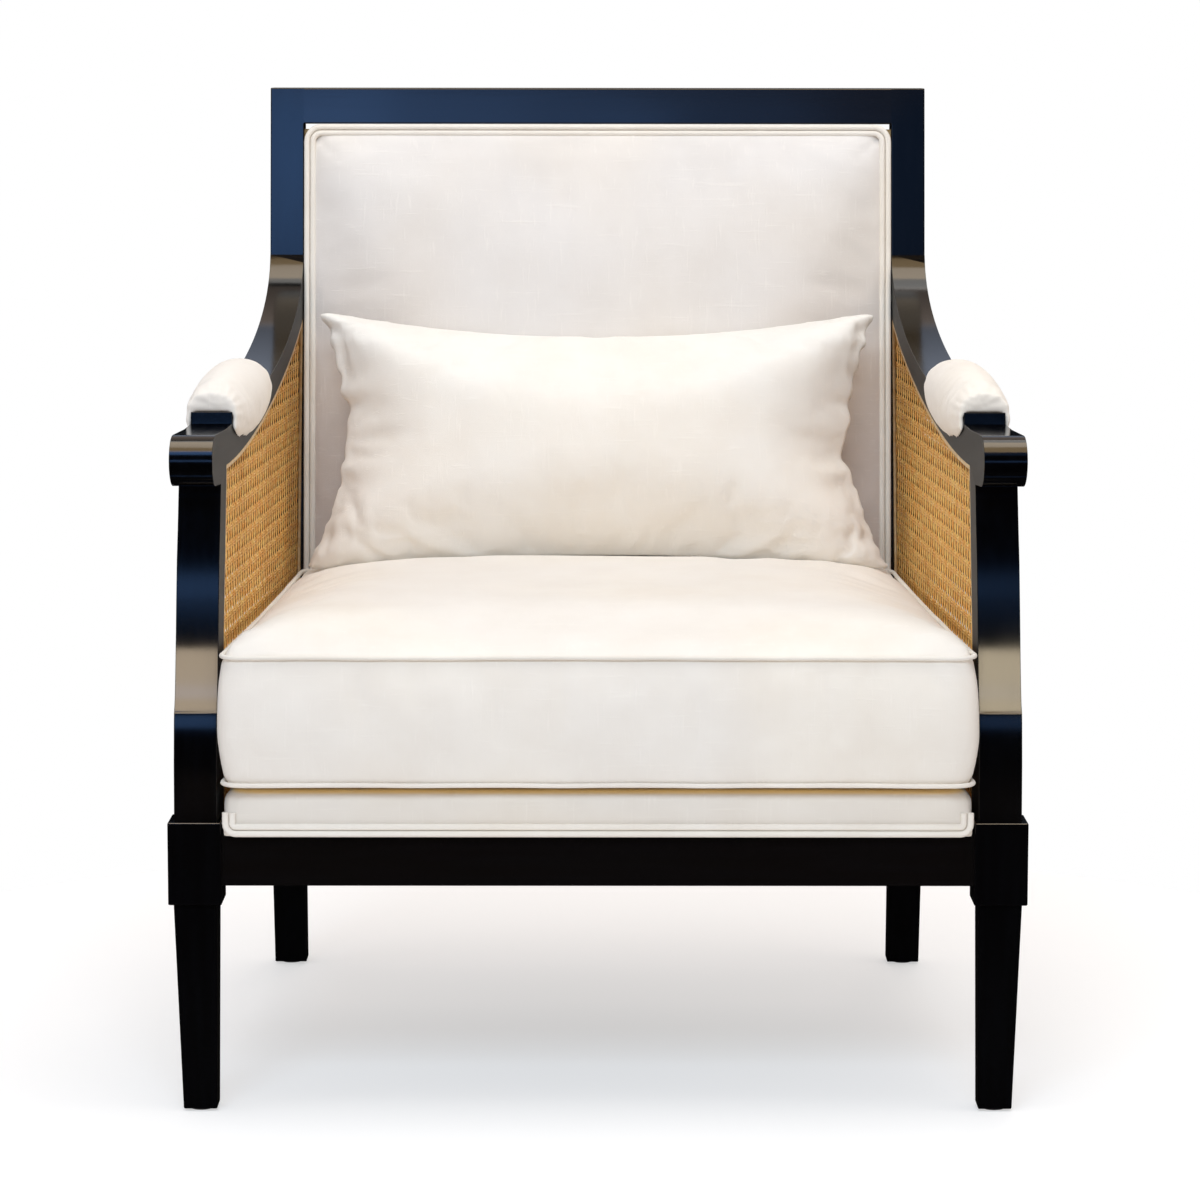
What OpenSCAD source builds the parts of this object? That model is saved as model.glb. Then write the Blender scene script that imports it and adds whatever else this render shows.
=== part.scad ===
// Cane-sided armchair with a show-wood frame, loose seat cushion and lumbar pillow.
// X runs across the chair, Y from front to back, Z up; left is the low X side, as seen from the front.
// Depths are measured back from the front face of the corner blocks, and at_d() turns them into Y.

/* [Overall] */
// Width over the front corner blocks
seat_w = 760; // [680:5:840]
// Width over the back posts
back_w = 668; // [600:2:700]
// Height of the top rail above the floor
chair_h = 901; // [860:1:960]
// Height of the top of the seat frame and corner blocks
frame_top = 262; // [240:1:290]
// Depth from the corner blocks to the front of the back posts, at the seat frame
post_d = 600; // [560:5:640]
// How far the back leans from upright, in degrees
recline = 7.8; // [5:0.1:11]

/* [Legs and seat frame] */
// Height of the seat rails
rail_h = 57; // [45:1:70]
// Thickness of the front and rear seat rails
rail_t = 30; // [22:1:36]
// Height of a corner block
block_h = 74; // [65:1:85]
// Width of a corner block
block_w = 47.5; // [44:0.5:54]
// Depth of a corner block
block_d = 46; // [42:0.5:52]
// Width of a front leg below its block
leg_w = 38.5; // [32:0.5:42]
// Width of a front leg at the floor
foot_w = 30; // [22:0.5:32]
// Width of a rear leg at the floor
rear_foot_w = 32.5; // [24:0.5:34]
// Depth of a rear leg at the floor
rear_foot_d = 30; // [24:0.5:38]
// How far the rear legs run back on their way down
rake = 40; // [20:1:70]
// Height of a nylon glide under a leg
glide_h = 2; // [1:0.5:5]
// Diameter of a nylon glide
glide_dia = 20; // [14:1:22]

/* [Back frame] */
// Width of a back post
post_w = 34; // [30:0.5:42]
// Thickness of a back post at the seat frame
post_t = 42; // [36:0.5:50]
// Thickness of a back post and the top rail at the top
post_top_t = 33; // [26:0.5:40]
// Height of the top rail
top_rail_h = 36.5; // [30:0.5:60]
// Height of the lower back rail
low_rail_h = 40; // [30:1:60]
// Gap between the seat frame and the lower back rail
low_rail_gap = 44; // [36:1:60]
// Width of a tacking strip inside the back frame
tack_w = 16; // [12:1:24]
// Thickness of the tacking strips and the lower back rail
tack_t = 16; // [12:1:18]

/* [Arms] */
// Thickness of the arms and arm posts at the front
arm_t = 38; // [34:0.5:44]
// How far a corner block stands out past the arm post
block_proud = 4.5; // [3:0.5:8]
// Height of the arm at its front lip
lip_z = 614.5; // [600:0.5:640]
// Depth of the front lip behind the corner blocks
lip_d = 131; // [115:1:150]
// Height of the front lip's face
lip_h = 10.5; // [6:0.5:14]
// Diameter of the hand roll at the front of the arm
roll_dia = 45; // [40:1:50]
// Height of the middle of the hand roll
roll_z = 580.5; // [575:0.5:590]
// Depth of the middle of the hand roll
roll_d = 26; // [22:1:34]
// Height where the arm's top meets the back post
join_z = 732; // [700:1:760]
// Height where the arm's underside meets the back post
join_low_z = 668; // [650:1:680]
// Depth, front to back, of the arm post
arm_post_t = 35; // [30:1:40]
// Height of the lip on the front of the arm post
post_lip_z = 357.5; // [340:0.5:370]

/* [Cane] */
// Thickness of the woven cane sheet
cane_t = 1.2; // [1:0.1:2.5]
// How far each cane sheet lies in from its face of the side frame
cane_in = 3.2; // [2.5:0.1:10]
// Depth of the groove that holds the edge of the cane
groove = 4; // [2:0.5:6]
// Openings along a cane sheet, a plain grid that stands for its woven holes
cane_cells = 12; // [8:1:12]
// Share of a cell's width that is open
cane_open = 0.62; // [0.4:0.01:0.7]
// Width of the spline that holds the cane
spline_w = 4.5; // [3:0.5:8]
// Thickness of the spline
spline_t = 3; // [1.5:0.1:3]

/* [Upholstery] */
// Thickness of the seat deck
deck_h = 29; // [22:1:36]
// Thickness of the deck cover where it wraps the front rail
lip_cover = 4; // [2:0.5:6]
// How far the deck cover laps down the front rail
lap = 12; // [10:1:16]
// Width of the double welt
welt_w = 12.5; // [10:0.5:14]
// Height of the crown on the padded back
back_crown = 28; // [15:1:36]
// Height of the seat cushion at its seams
cushion_h = 119; // [90:1:130]
// Height of the crown on the seat cushion
cushion_crown = 32; // [20:1:45]
// How far the seat cushion's front seams stand ahead of the corner blocks
cushion_ahead = 12; // [5:1:20]
// Width of the lumbar pillow between its lower corners
pillow_w = 582; // [480:1:590]
// Height of the lumbar pillow between its corners
pillow_h = 268; // [220:1:280]
// Thickness of the lumbar pillow
pillow_t = 128; // [90:1:140]
// Length of an arm pad
pad_l = 252; // [200:1:280]
// Height of an arm pad above the arm
pad_h = 35; // [20:1:40]
// How far an arm pad bulges past each side of the arm
pad_side = 9.5; // [5:0.5:10.5]

/* [Springs and fasteners] */
// Number of seat springs
springs = 4; // [3:1:6]
// Diameter of the spring wire
wire_dia = 4; // [3:0.5:4]
// Diameter of a dowel
dowel_dia = 10; // [8:1:12]
// Length of a dowel
dowel_l = 40; // [30:1:44]
// Diameter of a corner block screw
screw_dia = 5; // [4:0.5:6]
// Length of a corner block screw
screw_l = 40; // [32:1:44]

/* [Hidden] */

lacquer = "#15161c";
linen = "#f4eee4";
cane_tan = "#c99a5b";
spline_tan = "#d9b98c";
beech = "#d8b78a";
steel = "#a9adb2";
jute = "#a58a5f";
black_cloth = "#222222";
nylon = "#3a3a3a";

soft_gap = 0.5;
crease = 0.3;
post_set = 10;
post_lip = 8;
throat_back = 74;
throat_drop = 24;
perch_back = 38;
perch_drop = 10;
arm_flare = 75;
arm_ease = 4;
low_flare = 44;
corner_r = 18;
cushion_bulge = 6;
cushion_rise = 6;
cloth_t = 0.8;
welt_cloth = 1;
cord_fill = 0.96;
pad_back = 9;
web_t = 1.5;
tack_y = pad_back + web_t;
web_w = 50;
round_n = 32;
curve_n = 28;
wire_sides = 6;

rail_low = frame_top - rail_h;
block_low = frame_top - block_h;
rail_set = 3;
deck_top = frame_top + deck_h;
back_d = post_d + (chair_h - frame_top) * tan(recline) + post_top_t;
front_d = -cushion_ahead - cushion_bulge;
middle_d = (front_d + back_d) / 2;

function at_d(d) = d - middle_d;
function face_d(z) = post_d + max(0, z - frame_top) * tan(recline);
function thick(z) = post_t + (post_top_t - post_t) * (z - frame_top) / (chair_h - frame_top);
function behind_d(z) = face_d(z) + thick(z);
function mix(a, b, t) = a + (b - a) * t;
function swing(p, q, r, s, t) =
  pow(1 - t, 3) * p + 3 * pow(1 - t, 2) * t * q + 3 * (1 - t) * t * t * r + t * t * t * s;
function curve(p, q, r, s, n) = [for (i = [0:n]) swing(p, q, r, s, i / n)];

join_d = face_d(join_z);
side_out = seat_w / 2 - block_proud;
out_taper = (side_out - back_w / 2) / join_d;
side_in = side_out - arm_t;
in_taper = (side_in - back_w / 2 + post_w) / join_d;
post_in = back_w / 2 - post_w;
block_in = seat_w / 2 - block_w;
function out_x(d) = side_out - d * out_taper;
function in_x(d) = side_in - d * in_taper;

// Lofting and sweeping through rings of points

module loft(rings, first, last) {
  n = len(rings[0]);
  m = len(rings);
  points = concat([for (r = rings) each r], [first, last]);
  walls = [for (j = [0:m - 2], i = [0:n - 1]) let (
      a = j * n + i,
      b = j * n + (i + 1) % n)
    each [[a, a + n, b], [b, a + n, b + n]]];
  caps = concat(
    [for (i = [0:n - 1]) [m * n, i, (i + 1) % n]],
    [for (i = [0:n - 1]) [m * n + 1, (m - 1) * n + (i + 1) % n, (m - 1) * n + i]]);
  polyhedron(points, concat(walls, caps));
}

module closed_sweep(rings) {
  n = len(rings[0]);
  m = len(rings);
  points = [for (r = rings) each r];
  walls = [for (j = [0:m - 1], i = [0:n - 1]) let (
      k = (j + 1) % m,
      a = j * n + i,
      b = j * n + (i + 1) % n,
      c = k * n + i,
      d = k * n + (i + 1) % n)
    each [[a, c, b], [b, c, d]]];
  polyhedron(points, walls);
}

// A four-sided ring of unit size with even points along its sides and rounded corners: r is the
// corner radius as a share of half the side, n the steps along a side and 3 the steps round a corner
function soft_square(n, r) = [for (k = [0:3], i = [0:n + 2]) let (
    a = (i - n) * 30,
    along = -(1 - r) + 2 * (1 - r) * i / n,
    p = i <= n ? [1, along] : [1 - r + r * cos(a), 1 - r + r * sin(a)])
  turned(p, k)];
function turned(p, k) = k == 0 ? p : turned([-p[1], p[0]], k - 1);

// A clockwise outline moved outwards by g all round
function grown(p, g) = [for (i = [0:len(p) - 1]) let (
    a = p[(i + len(p) - 1) % len(p)],
    b = p[i],
    c = p[(i + 1) % len(p)],
    u = (b - a) / norm(b - a),
    v = (c - b) / norm(c - b),
    bisect = [-u[1] - v[1], u[0] + v[0]])
  b + g * 2 * bisect / (bisect * bisect)];

// Side frame: outlines in depth and height, all cut from boards that follow the chair's tapered plan

arm_run = join_d - lip_d;
arm_top = curve([lip_d, lip_z], [lip_d + arm_run * 0.5, lip_z - 4],
  [join_d - arm_flare * tan(recline) - arm_ease, join_z - arm_flare], [join_d, join_z], curve_n);

// The throat is where the roll meets the front of the arm post, and the perch is where the arm's
// underside meets the back of it
throat = [lip_d - throat_back, roll_z - throat_drop];
perch = [lip_d - perch_back, roll_z - perch_drop];
join_low_d = face_d(join_low_z);
low_run = join_low_d - perch[0];
arm_low = curve(perch, perch + [low_run * 0.35, 0], [join_low_d - low_run * 0.18, join_low_z - low_flare],
  [join_low_d, join_low_z], curve_n);

// A point of the arm post's swept front: u runs back to the throat and v up from the lip to it
function on_post(u, v) = [mix(post_set + post_lip, throat[0], u), mix(post_lip_z, throat[1], v)];
post_front = concat(
  [[post_set, frame_top], [post_set + post_lip * 0.2, mix(frame_top, post_lip_z, 0.52)],
    [post_set + post_lip * 0.62, post_lip_z - post_lip * 1.2], [post_set + post_lip * 0.8, post_lip_z]],
  curve(on_post(0, 0.008), on_post(0.2, 0.11), on_post(0.28, 0.25), on_post(0.46, 0.49), 12),
  [on_post(0.61, 0.67), on_post(0.78, 0.8), throat]);
post_depth = [arm_post_t, 0];
post_foot_d = post_set + block_d;
post_back = concat(
  [[post_foot_d, frame_top], [post_foot_d, post_lip_z]],
  curve([post_foot_d, post_lip_z], on_post(0.2, 0.2) + post_depth, on_post(0.28, 0.3) + post_depth,
    on_post(0.5, 0.52) + post_depth, 8),
  [on_post(0.78, 0.8) + post_depth, perch]);
opening = concat([for (i = [0:len(post_back) - 1]) if (i != 1) post_back[i]],
  [for (i = [1:curve_n]) arm_low[i]], [[post_d, frame_top]]);

module across(x0, x1) {
  translate([x0, 0, 0])
    rotate([90, 0, 90])
      linear_extrude(height = x1 - x0)
        children();
}

module outline(p) {
  polygon([for (q = p) [at_d(q[0]), q[1]]]);
}

// The side frame's tapered plan starts this far ahead of the corner blocks, past the hand rolls
plan_d = -40;

// A right-hand board of the side frame, from inset a of the inner face to inset b of the outer face
module side_board(a, b) {
  linear_extrude(height = chair_h)
    polygon([[in_x(plan_d) + a, at_d(plan_d)], [out_x(plan_d) - b, at_d(plan_d)],
      [out_x(back_d) - b, at_d(back_d)], [in_x(back_d) + a, at_d(back_d)]]);
}

// A layer of the side frame from a to b outwards of its inner face
module inner_layer(a, b) {
  linear_extrude(height = chair_h)
    polygon([[in_x(plan_d) + a, at_d(plan_d)], [in_x(plan_d) + b, at_d(plan_d)],
      [in_x(back_d) + b, at_d(back_d)], [in_x(back_d) + a, at_d(back_d)]]);
}

// A layer of the side frame from a to b inwards of its outer face
module outer_layer(a, b) {
  linear_extrude(height = chair_h)
    polygon([[out_x(plan_d) - a, at_d(plan_d)], [out_x(back_d) - a, at_d(back_d)],
      [out_x(back_d) - b, at_d(back_d)], [out_x(plan_d) - b, at_d(plan_d)]]);
}

module both(s) {
  mirror([s < 0 ? 1 : 0, 0, 0])
    children();
}

outer_in = rail_set + cane_in;

module cane_groove() {
  intersection() {
    across(post_in, seat_w / 2)
      outline(grown(opening, groove));
    union() {
      inner_layer(cane_in - 0.1, cane_in + cane_t + 0.1);
      outer_layer(outer_in - 0.1, outer_in + cane_t + 0.1);
    }
  }
}

// Dowels, each centred on the joint that it crosses; extra is the clearance of its blind hole
module dowel(p, turn, extra) {
  translate(p)
    rotate(turn)
      cylinder(h = dowel_l + extra, d = dowel_dia + extra * 0.1, center = true, $fn = round_n);
}

post_dowel_d = post_set + block_d / 2;
arm_dowel_d = (throat[0] + perch[0]) / 2;
arm_dowel_z = (throat[1] + perch[1]) / 2;
join_dowel_z = join_low_z + dowel_dia * 1.2;
rail_mid = rail_low + rail_h / 2;
rail_dowel = rail_h / 2 - 15;
front_rail_d = 3;
rear_rail_d = post_d + post_t - rail_t;
low_rail_z = frame_top + low_rail_gap;
low_rail_d = face_d(low_rail_z + low_rail_h / 2) + tack_y + tack_t / 2;

module rail_dowels(extra) {
  for (z = [rail_mid - rail_dowel, rail_mid + rail_dowel]) {
    dowel([block_in, at_d(front_rail_d + rail_t / 2), z], [0, 90, 0], extra);
    dowel([post_in, at_d(rear_rail_d + rail_t / 2), z], [0, 90, 0], extra);
  }
}

module side_dowels(extra) {
  for (z = [rail_mid - rail_dowel, rail_mid + rail_dowel]) {
    dowel([in_x(block_d) + arm_t / 2, at_d(block_d), z], [90, 0, 0], extra);
    dowel([in_x(post_d) + arm_t / 2, at_d(post_d), z], [90, 0, 0], extra);
  }
}

module arm_dowels(extra) {
  dowel([in_x(post_dowel_d) + arm_t / 2, at_d(post_dowel_d), frame_top], [0, 0, 0], extra);
  dowel([in_x(arm_dowel_d) + arm_t / 2, at_d(arm_dowel_d), arm_dowel_z], [0, 0, 0], extra);
  dowel([(back_w - post_w) / 2, at_d(face_d(join_dowel_z)), join_dowel_z], [90 - recline, 0, 0], extra);
}

module back_dowels(extra) {
  z = chair_h - top_rail_h / 2;
  dowel([post_in, at_d(face_d(z) + thick(z) / 2), z], [0, 90, 0], extra);
  dowel([post_in, at_d(low_rail_d), low_rail_z + low_rail_h / 2], [0, 90, 0], extra);
}

// Front legs: a corner block with a tapered leg below, in one piece

module front_leg(s) {
  color(lacquer)
    both(s)
      difference() {
        union() {
          translate([block_in, at_d(0), block_low])
            cube([block_w, block_d, block_h]);
          tapered_leg();
        }
        rail_dowels(1);
        side_dowels(1);
        arm_dowels(1);
      }
}

module tapered_leg() {
  x0 = seat_w / 2 - block_proud - leg_w;
  x1 = x0 + 2;
  y0 = at_d(block_proud);
  y1 = y0 + (leg_w - foot_w) / 2;
  hull() {
    translate([x0, y0, block_low - 1])
      cube([leg_w, leg_w, 1]);
    translate([x1, y1, glide_h])
      cube([foot_w, foot_w, 1]);
  }
}

// Back posts: raked rear leg and reclined stile in one piece

post_side = [[post_d + rake, glide_h], [post_d, rail_low], [post_d, frame_top],
  [face_d(chair_h), chair_h], [behind_d(chair_h), chair_h], [behind_d(frame_top), frame_top],
  [post_d + post_t, rail_low], [post_d + rake + rear_foot_d, glide_h]];

module back_post(s) {
  shrink = (post_w - rear_foot_w) / 2;
  color(lacquer)
    both(s)
      difference() {
        across(post_in, back_w / 2)
          outline(post_side);
        for (side = [0, 1])
          foot_shave(side, shrink);
        rail_dowels(1);
        side_dowels(1);
        arm_dowels(1);
        back_dowels(1);
        cane_groove();
      }
}

module foot_shave(side, shrink) {
  wall = side == 0 ? post_in : back_w / 2;
  turn = side == 0 ? 1 : -1;
  across_y = at_d(post_d - 10);
  translate([0, across_y + rake + post_t + 60, 0])
    rotate([90, 0, 0])
      linear_extrude(height = rake + post_t + 80)
        polygon([[wall, rail_low], [wall + turn * shrink, glide_h], [wall + turn * shrink, -1],
          [wall - turn, -1], [wall - turn, rail_low]]);
}

// Seat rails

module front_rail_solid() {
  translate([-block_in, at_d(front_rail_d), rail_low])
    cube([block_in * 2, rail_t, rail_h]);
}

module rear_rail_solid() {
  translate([-post_in, at_d(rear_rail_d), rail_low])
    cube([post_in * 2, rail_t, rail_h]);
}

rebate_w = 16;
rebate_h = 7;

module front_seat_rail() {
  color(lacquer)
    difference() {
      front_rail_solid();
      translate([-block_in - 1, at_d(front_rail_d + rail_t - rebate_w), frame_top - rebate_h])
        cube([block_in * 2 + 2, rebate_w + 1, rebate_h + 1]);
      for (s = [-1, 1])
        both(s)
          rail_dowels(1);
      brace_screw_set(0.2);
    }
}

module rear_seat_rail() {
  color(lacquer)
    difference() {
      rear_rail_solid();
      translate([-post_in - 1, at_d(rear_rail_d) - 1, frame_top - rebate_h])
        cube([post_in * 2 + 2, rebate_w + 1, rebate_h + 1]);
      for (s = [-1, 1])
        both(s)
          rail_dowels(1);
      brace_screw_set(0.2);
    }
}

module side_rail(s) {
  color(lacquer)
    both(s)
      difference() {
        intersection() {
          across(post_in - 20, seat_w / 2)
            outline([[block_d, rail_low], [block_d, frame_top], [post_d, frame_top], [post_d, rail_low]]);
          side_board(0, rail_set);
        }
        side_dowels(1);
        cane_groove();
        brace_screw_set(0.2);
      }
}

// Arm post and arm

module arm_post(s) {
  color(lacquer)
    both(s)
      difference() {
        intersection() {
          across(post_in - 20, seat_w / 2)
            outline(concat(post_front, [for (i = [len(post_back) - 1:-1:0]) post_back[i]]));
          side_board(0, 0);
        }
        arm_dowels(1);
        cane_groove();
      }
}

arm_side = concat(
  [[lip_d, lip_z - lip_h], [mix(roll_d, lip_d, 0.63), lip_z - lip_h * 1.15]],
  [for (a = [90:10:270]) [roll_d + roll_dia / 2 * cos(a), roll_z + roll_dia / 2 * sin(a)]],
  [throat],
  arm_low,
  [for (i = [curve_n:-1:0]) arm_top[i]]);

module arm_solid() {
  intersection() {
    across(post_in - 20, seat_w / 2)
      outline(arm_side);
    side_board(0, 0);
  }
}

module arm(s) {
  color(lacquer)
    both(s)
      difference() {
        arm_solid();
        arm_dowels(1);
        cane_groove();
      }
}

// Back rails and the tacking strips inside the back frame

module top_rail() {
  low = chair_h - top_rail_h;
  color(lacquer)
    difference() {
      across(-post_in, post_in)
        outline([[face_d(low), low], [face_d(chair_h), chair_h], [behind_d(chair_h), chair_h],
          [behind_d(low), low]]);
      for (s = [-1, 1])
        both(s)
          back_dowels(1);
    }
}

module in_back() {
  translate([0, at_d(post_d), frame_top])
    rotate([-recline, 0, 0])
      children();
}

function up(z) = (z - frame_top) / cos(recline);
open_low = up(low_rail_z);
open_high = up(chair_h - top_rail_h);
open_mid = (open_low + open_high) / 2;
open_h = open_high - open_low;

module lower_back_rail() {
  color(lacquer)
    difference() {
      in_back()
        translate([-post_in, tack_y, open_low])
          cube([post_in * 2, tack_t, low_rail_h / cos(recline)]);
      for (s = [-1, 1])
        both(s)
          back_dowels(1);
    }
}

module tacking_strips() {
  low = open_low + low_rail_h / cos(recline);
  color(beech)
    in_back() {
      for (s = [-1, 1])
        both(s)
          translate([post_in - tack_w, tack_y, low])
            cube([tack_w, tack_t, open_high - 4 - low]);
      translate([-post_in + tack_w + 0.2, tack_y, open_high - tack_w - 4])
        cube([(post_in - tack_w - 0.2) * 2, tack_t, tack_w]);
    }
}

// Cane

cane_rim = spline_w + 2;
cane_cell = (join_low_d - post_foot_d) / cane_cells;

module cane_holes() {
  intersection() {
    outline(grown(opening, -cane_rim));
    for (i = [0:cane_cells - 1], z = [frame_top:cane_cell:join_low_z])
      translate([at_d(post_foot_d + cane_cell * (i + 0.5)), z + cane_cell / 2])
        square(cane_cell * cane_open, center = true);
  }
}

module cane_sheet() {
  across(post_in - 20, seat_w / 2)
    difference() {
      outline(grown(opening, groove - 0.2));
      cane_holes();
    }
}

module cane_panel(s) {
  color(cane_tan)
    both(s)
      intersection() {
        cane_sheet();
        inner_layer(cane_in, cane_in + cane_t);
      }
}

module outer_cane(s) {
  color(cane_tan)
    both(s)
      intersection() {
        cane_sheet();
        outer_layer(outer_in, outer_in + cane_t);
      }
}

module spline_ring() {
  across(post_in - 20, seat_w / 2)
    difference() {
      outline(opening);
      outline(grown(opening, -spline_w));
    }
}

module cane_spline(s) {
  color(spline_tan)
    both(s)
      intersection() {
        spline_ring();
        inner_layer(cane_in - spline_t, cane_in);
      }
}

module outer_spline(s) {
  color(spline_tan)
    both(s)
      intersection() {
        spline_ring();
        outer_layer(outer_in - spline_t, outer_in);
      }
}

// Corner braces, screws, dowels and glides

brace_l = 60;
brace_h = 40;
brace_z = rail_low + 2;
brace_nip = 4;
brace_notch = 6;
rail_bite = 18;
side_bite = 16;
screw_step = 8;
screw_at = brace_l * 0.62;
front_in = front_rail_d + rail_t;
rear_in = rear_rail_d;

module brace_shape(front) {
  d = front ? front_in : rear_in;
  k = front ? 1 : -1;
  near = d + k * brace_nip;
  polygon([[in_x(near) - brace_nip, at_d(d)], [in_x(d) - brace_l, at_d(d)],
    [in_x(d + k * brace_l), at_d(d + k * brace_l)], [in_x(near), at_d(near)]]);
}

module corner_braces() {
  color(beech)
    difference() {
      for (s = [-1, 1], front = [true, false])
        both(s)
          translate([0, 0, brace_z])
            linear_extrude(height = brace_h)
              brace_shape(front);
      brace_screw_set(0.2);
      for (s = [-1, 1])
        both(s)
          translate([block_in - brace_notch, at_d(0), rail_low - 1])
            cube([block_w, block_d + brace_notch, rail_h]);
      for (s = [-1, 1])
        both(s)
          translate([post_in - brace_notch, at_d(post_d - brace_notch), rail_low - 1])
            cube([post_w, post_t, rail_h]);
    }
}

module screw(extra) {
  head = screw_dia * 0.8;
  cylinder(h = screw_l + extra, d = screw_dia + extra, $fn = round_n);
  translate([0, 0, -head - extra])
    cylinder(h = head + extra, d = screw_dia * 2 + extra, $fn = round_n);
}

module brace_screw_set(extra) {
  for (s = [-1, 1], front = [true, false])
    both(s)
      brace_screw_pair(front, extra);
}

module brace_screw_pair(front, extra) {
  d = front ? front_in : rear_in;
  k = front ? 1 : -1;
  z = brace_z + brace_h / 2;
  translate([in_x(d) - screw_at, at_d(d + k * rail_bite), z - screw_step])
    rotate([front ? 90 : -90, 0, 0])
      screw(extra);
  translate([in_x(d + k * screw_at) - side_bite, at_d(d + k * screw_at), z + screw_step])
    rotate([0, 90, 0])
      screw(extra);
}

module brace_screws() {
  color(steel)
    brace_screw_set(0);
}

module frame_dowels() {
  color(beech)
    for (s = [-1, 1])
      both(s) {
        rail_dowels(0);
        side_dowels(0);
        arm_dowels(0);
        back_dowels(0);
      }
}

module leg_glides() {
  front_x = seat_w / 2 - block_proud - leg_w + 2 + foot_w / 2;
  front_y = at_d(block_proud) + leg_w / 2;
  color(nylon)
    for (s = [-1, 1])
      both(s) {
        translate([front_x, front_y, 0])
          cylinder(h = glide_h, d = glide_dia, $fn = round_n);
        translate([back_w / 2 - post_w / 2, at_d(post_d + rake + rear_foot_d / 2), 0])
          cylinder(h = glide_h, d = glide_dia, $fn = round_n);
      }
}

// Seat suspension: zigzag springs between clips on the front and rear rails

clip_t = 1;
clip_w = 22;
spring_z = frame_top - rebate_h + clip_t + wire_dia / 2 + 0.2;
spring_edge = 82;
spring_tail = 13;
spring_front = front_rail_d + rail_t - rebate_w / 2;
spring_back = rear_rail_d + rebate_w / 2;
spring_pitch = (block_in - spring_edge) * 2 / springs;
loops = 9;
loop_w = 24;
function spring_x(i) = (i - (springs - 1) / 2) * spring_pitch;

function zigzag(n) = [for (i = [0:n * 8]) let (
    t = i / (n * 8),
    wave = sin(360 * (t * n)) * min(1, t * 12, (1 - t) * 12))
  [loop_w * wave, mix(spring_front + 6, spring_back - 6, t)]];

module seat_springs() {
  route = concat([[-spring_tail, spring_front], [-4, spring_front], [0, spring_front + 1.5]], zigzag(loops),
    [[0, spring_back - 1.5], [4, spring_back], [spring_tail, spring_back]]);
  color(steel)
    for (k = [0:springs - 1])
      translate([spring_x(k), 0, spring_z])
        wire(route);
}

module wire(route) {
  m = len(route);
  rings = [for (j = [0:m - 1]) let (
      a = route[max(0, j - 1)],
      b = route[min(m - 1, j + 1)],
      t = (b - a) / norm(b - a),
      side = [t[1], -t[0]])
    [for (i = [0:wire_sides - 1]) let (
        q = 360 * (i + 0.5) / wire_sides,
        r = wire_dia / 2)
      [route[j][0] + side[0] * r * cos(q), at_d(route[j][1]) + side[1] * r * cos(q), -r * sin(q)]]];
  loft(rings, [route[0][0], at_d(route[0][1]), 0], [route[m - 1][0], at_d(route[m - 1][1]), 0]);
}

module spring_clips() {
  color(steel)
    for (k = [0:springs - 1], d = [spring_front, spring_back])
      translate([spring_x(k), at_d(d), frame_top - rebate_h])
        difference() {
          translate([-clip_w / 2, -rebate_w / 2 + 1, 0])
            cube([clip_w, rebate_w - 2, clip_t]);
          translate([0, 0, -1])
            cylinder(h = clip_t + 2, d = 2, $fn = round_n);
        }
}

// Plan of the deck: between the side frames, then between the back posts
function deck_plan(gap) = [
  [-block_in + gap, at_d(front_rail_d)], [block_in - gap, at_d(front_rail_d)],
  [block_in - gap, at_d(block_d + gap)], [in_x(block_d) - gap, at_d(block_d + gap)],
  [in_x(post_d) - gap, at_d(post_d - 2)], [post_in - gap, at_d(post_d - 2)],
  [post_in - gap, at_d(rear_rail_d + rail_t - 2)], [-post_in + gap, at_d(rear_rail_d + rail_t - 2)],
  [-post_in + gap, at_d(post_d - 2)], [-in_x(post_d) + gap, at_d(post_d - 2)],
  [-in_x(block_d) + gap, at_d(block_d + gap)], [-block_in + gap, at_d(block_d + gap)]];

module spring_cover() {
  low = spring_z + wire_dia / 2;
  color(jute)
    translate([0, 0, low])
      linear_extrude(height = frame_top - low)
        intersection() {
          polygon(deck_plan(crease));
          translate([-seat_w / 2, at_d(front_in - rebate_w + crease)])
            square([seat_w, rear_in + rebate_w - front_in + rebate_w - crease * 2]);
        }
}

// How far the deck reaches in between the back posts
deck_tail = 20;
deck_edge = [0, 0, 3.5, 8, 14];
deck_rise = [0, 0.72, 0.86, 0.96, 1];

function deck_ring(inset, z) = let (
    front = block_in - crease - inset,
    rear = in_x(post_d) - crease - inset)
  [for (q = soft_square(7, 0.06)) let (
      t = (q[1] + 1) / 2)
    [q[0] * mix(front, rear, t),
      at_d(mix(front_rail_d - lip_cover + inset, post_d - crease - inset, t)), z]];

module seat_deck() {
  rings = [for (i = [0:4]) deck_ring(deck_edge[i], frame_top + deck_h * deck_rise[i])];
  color(linen) {
    loft(rings, [0, 0, frame_top], [0, 0, deck_top]);
    translate([-block_in + 1, at_d(front_rail_d - lip_cover), frame_top - lap])
      cube([block_in * 2 - 2, lip_cover, lap + 8]);
    translate([-post_in + 1, at_d(post_d - 20), frame_top])
      cube([post_in * 2 - 2, 20 + deck_tail, deck_h * 0.7]);
  }
}

module deck_welt() {
  color(linen)
    translate([-block_in + 1.5, at_d(front_rail_d - lip_cover), frame_top - lap])
      double_welt(block_in * 2 - 3);
}

// Two cords side by side along X on the cloth strip that they are sewn to, standing out to -Y
module double_welt(l) {
  cord = welt_w / 2;
  for (k = [0.5, 1.5])
    translate([0, -cord / 2, cord * k])
      rotate([0, 90, 0])
        cylinder(h = l, d = cord * cord_fill, $fn = round_n);
  translate([0, -welt_cloth, 0])
    cube([l, welt_cloth, welt_w]);
}

// The dust cover laps this far under the rails, and clears the legs by this much
dust_lap = 8;
dust_gap = 4;

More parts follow.
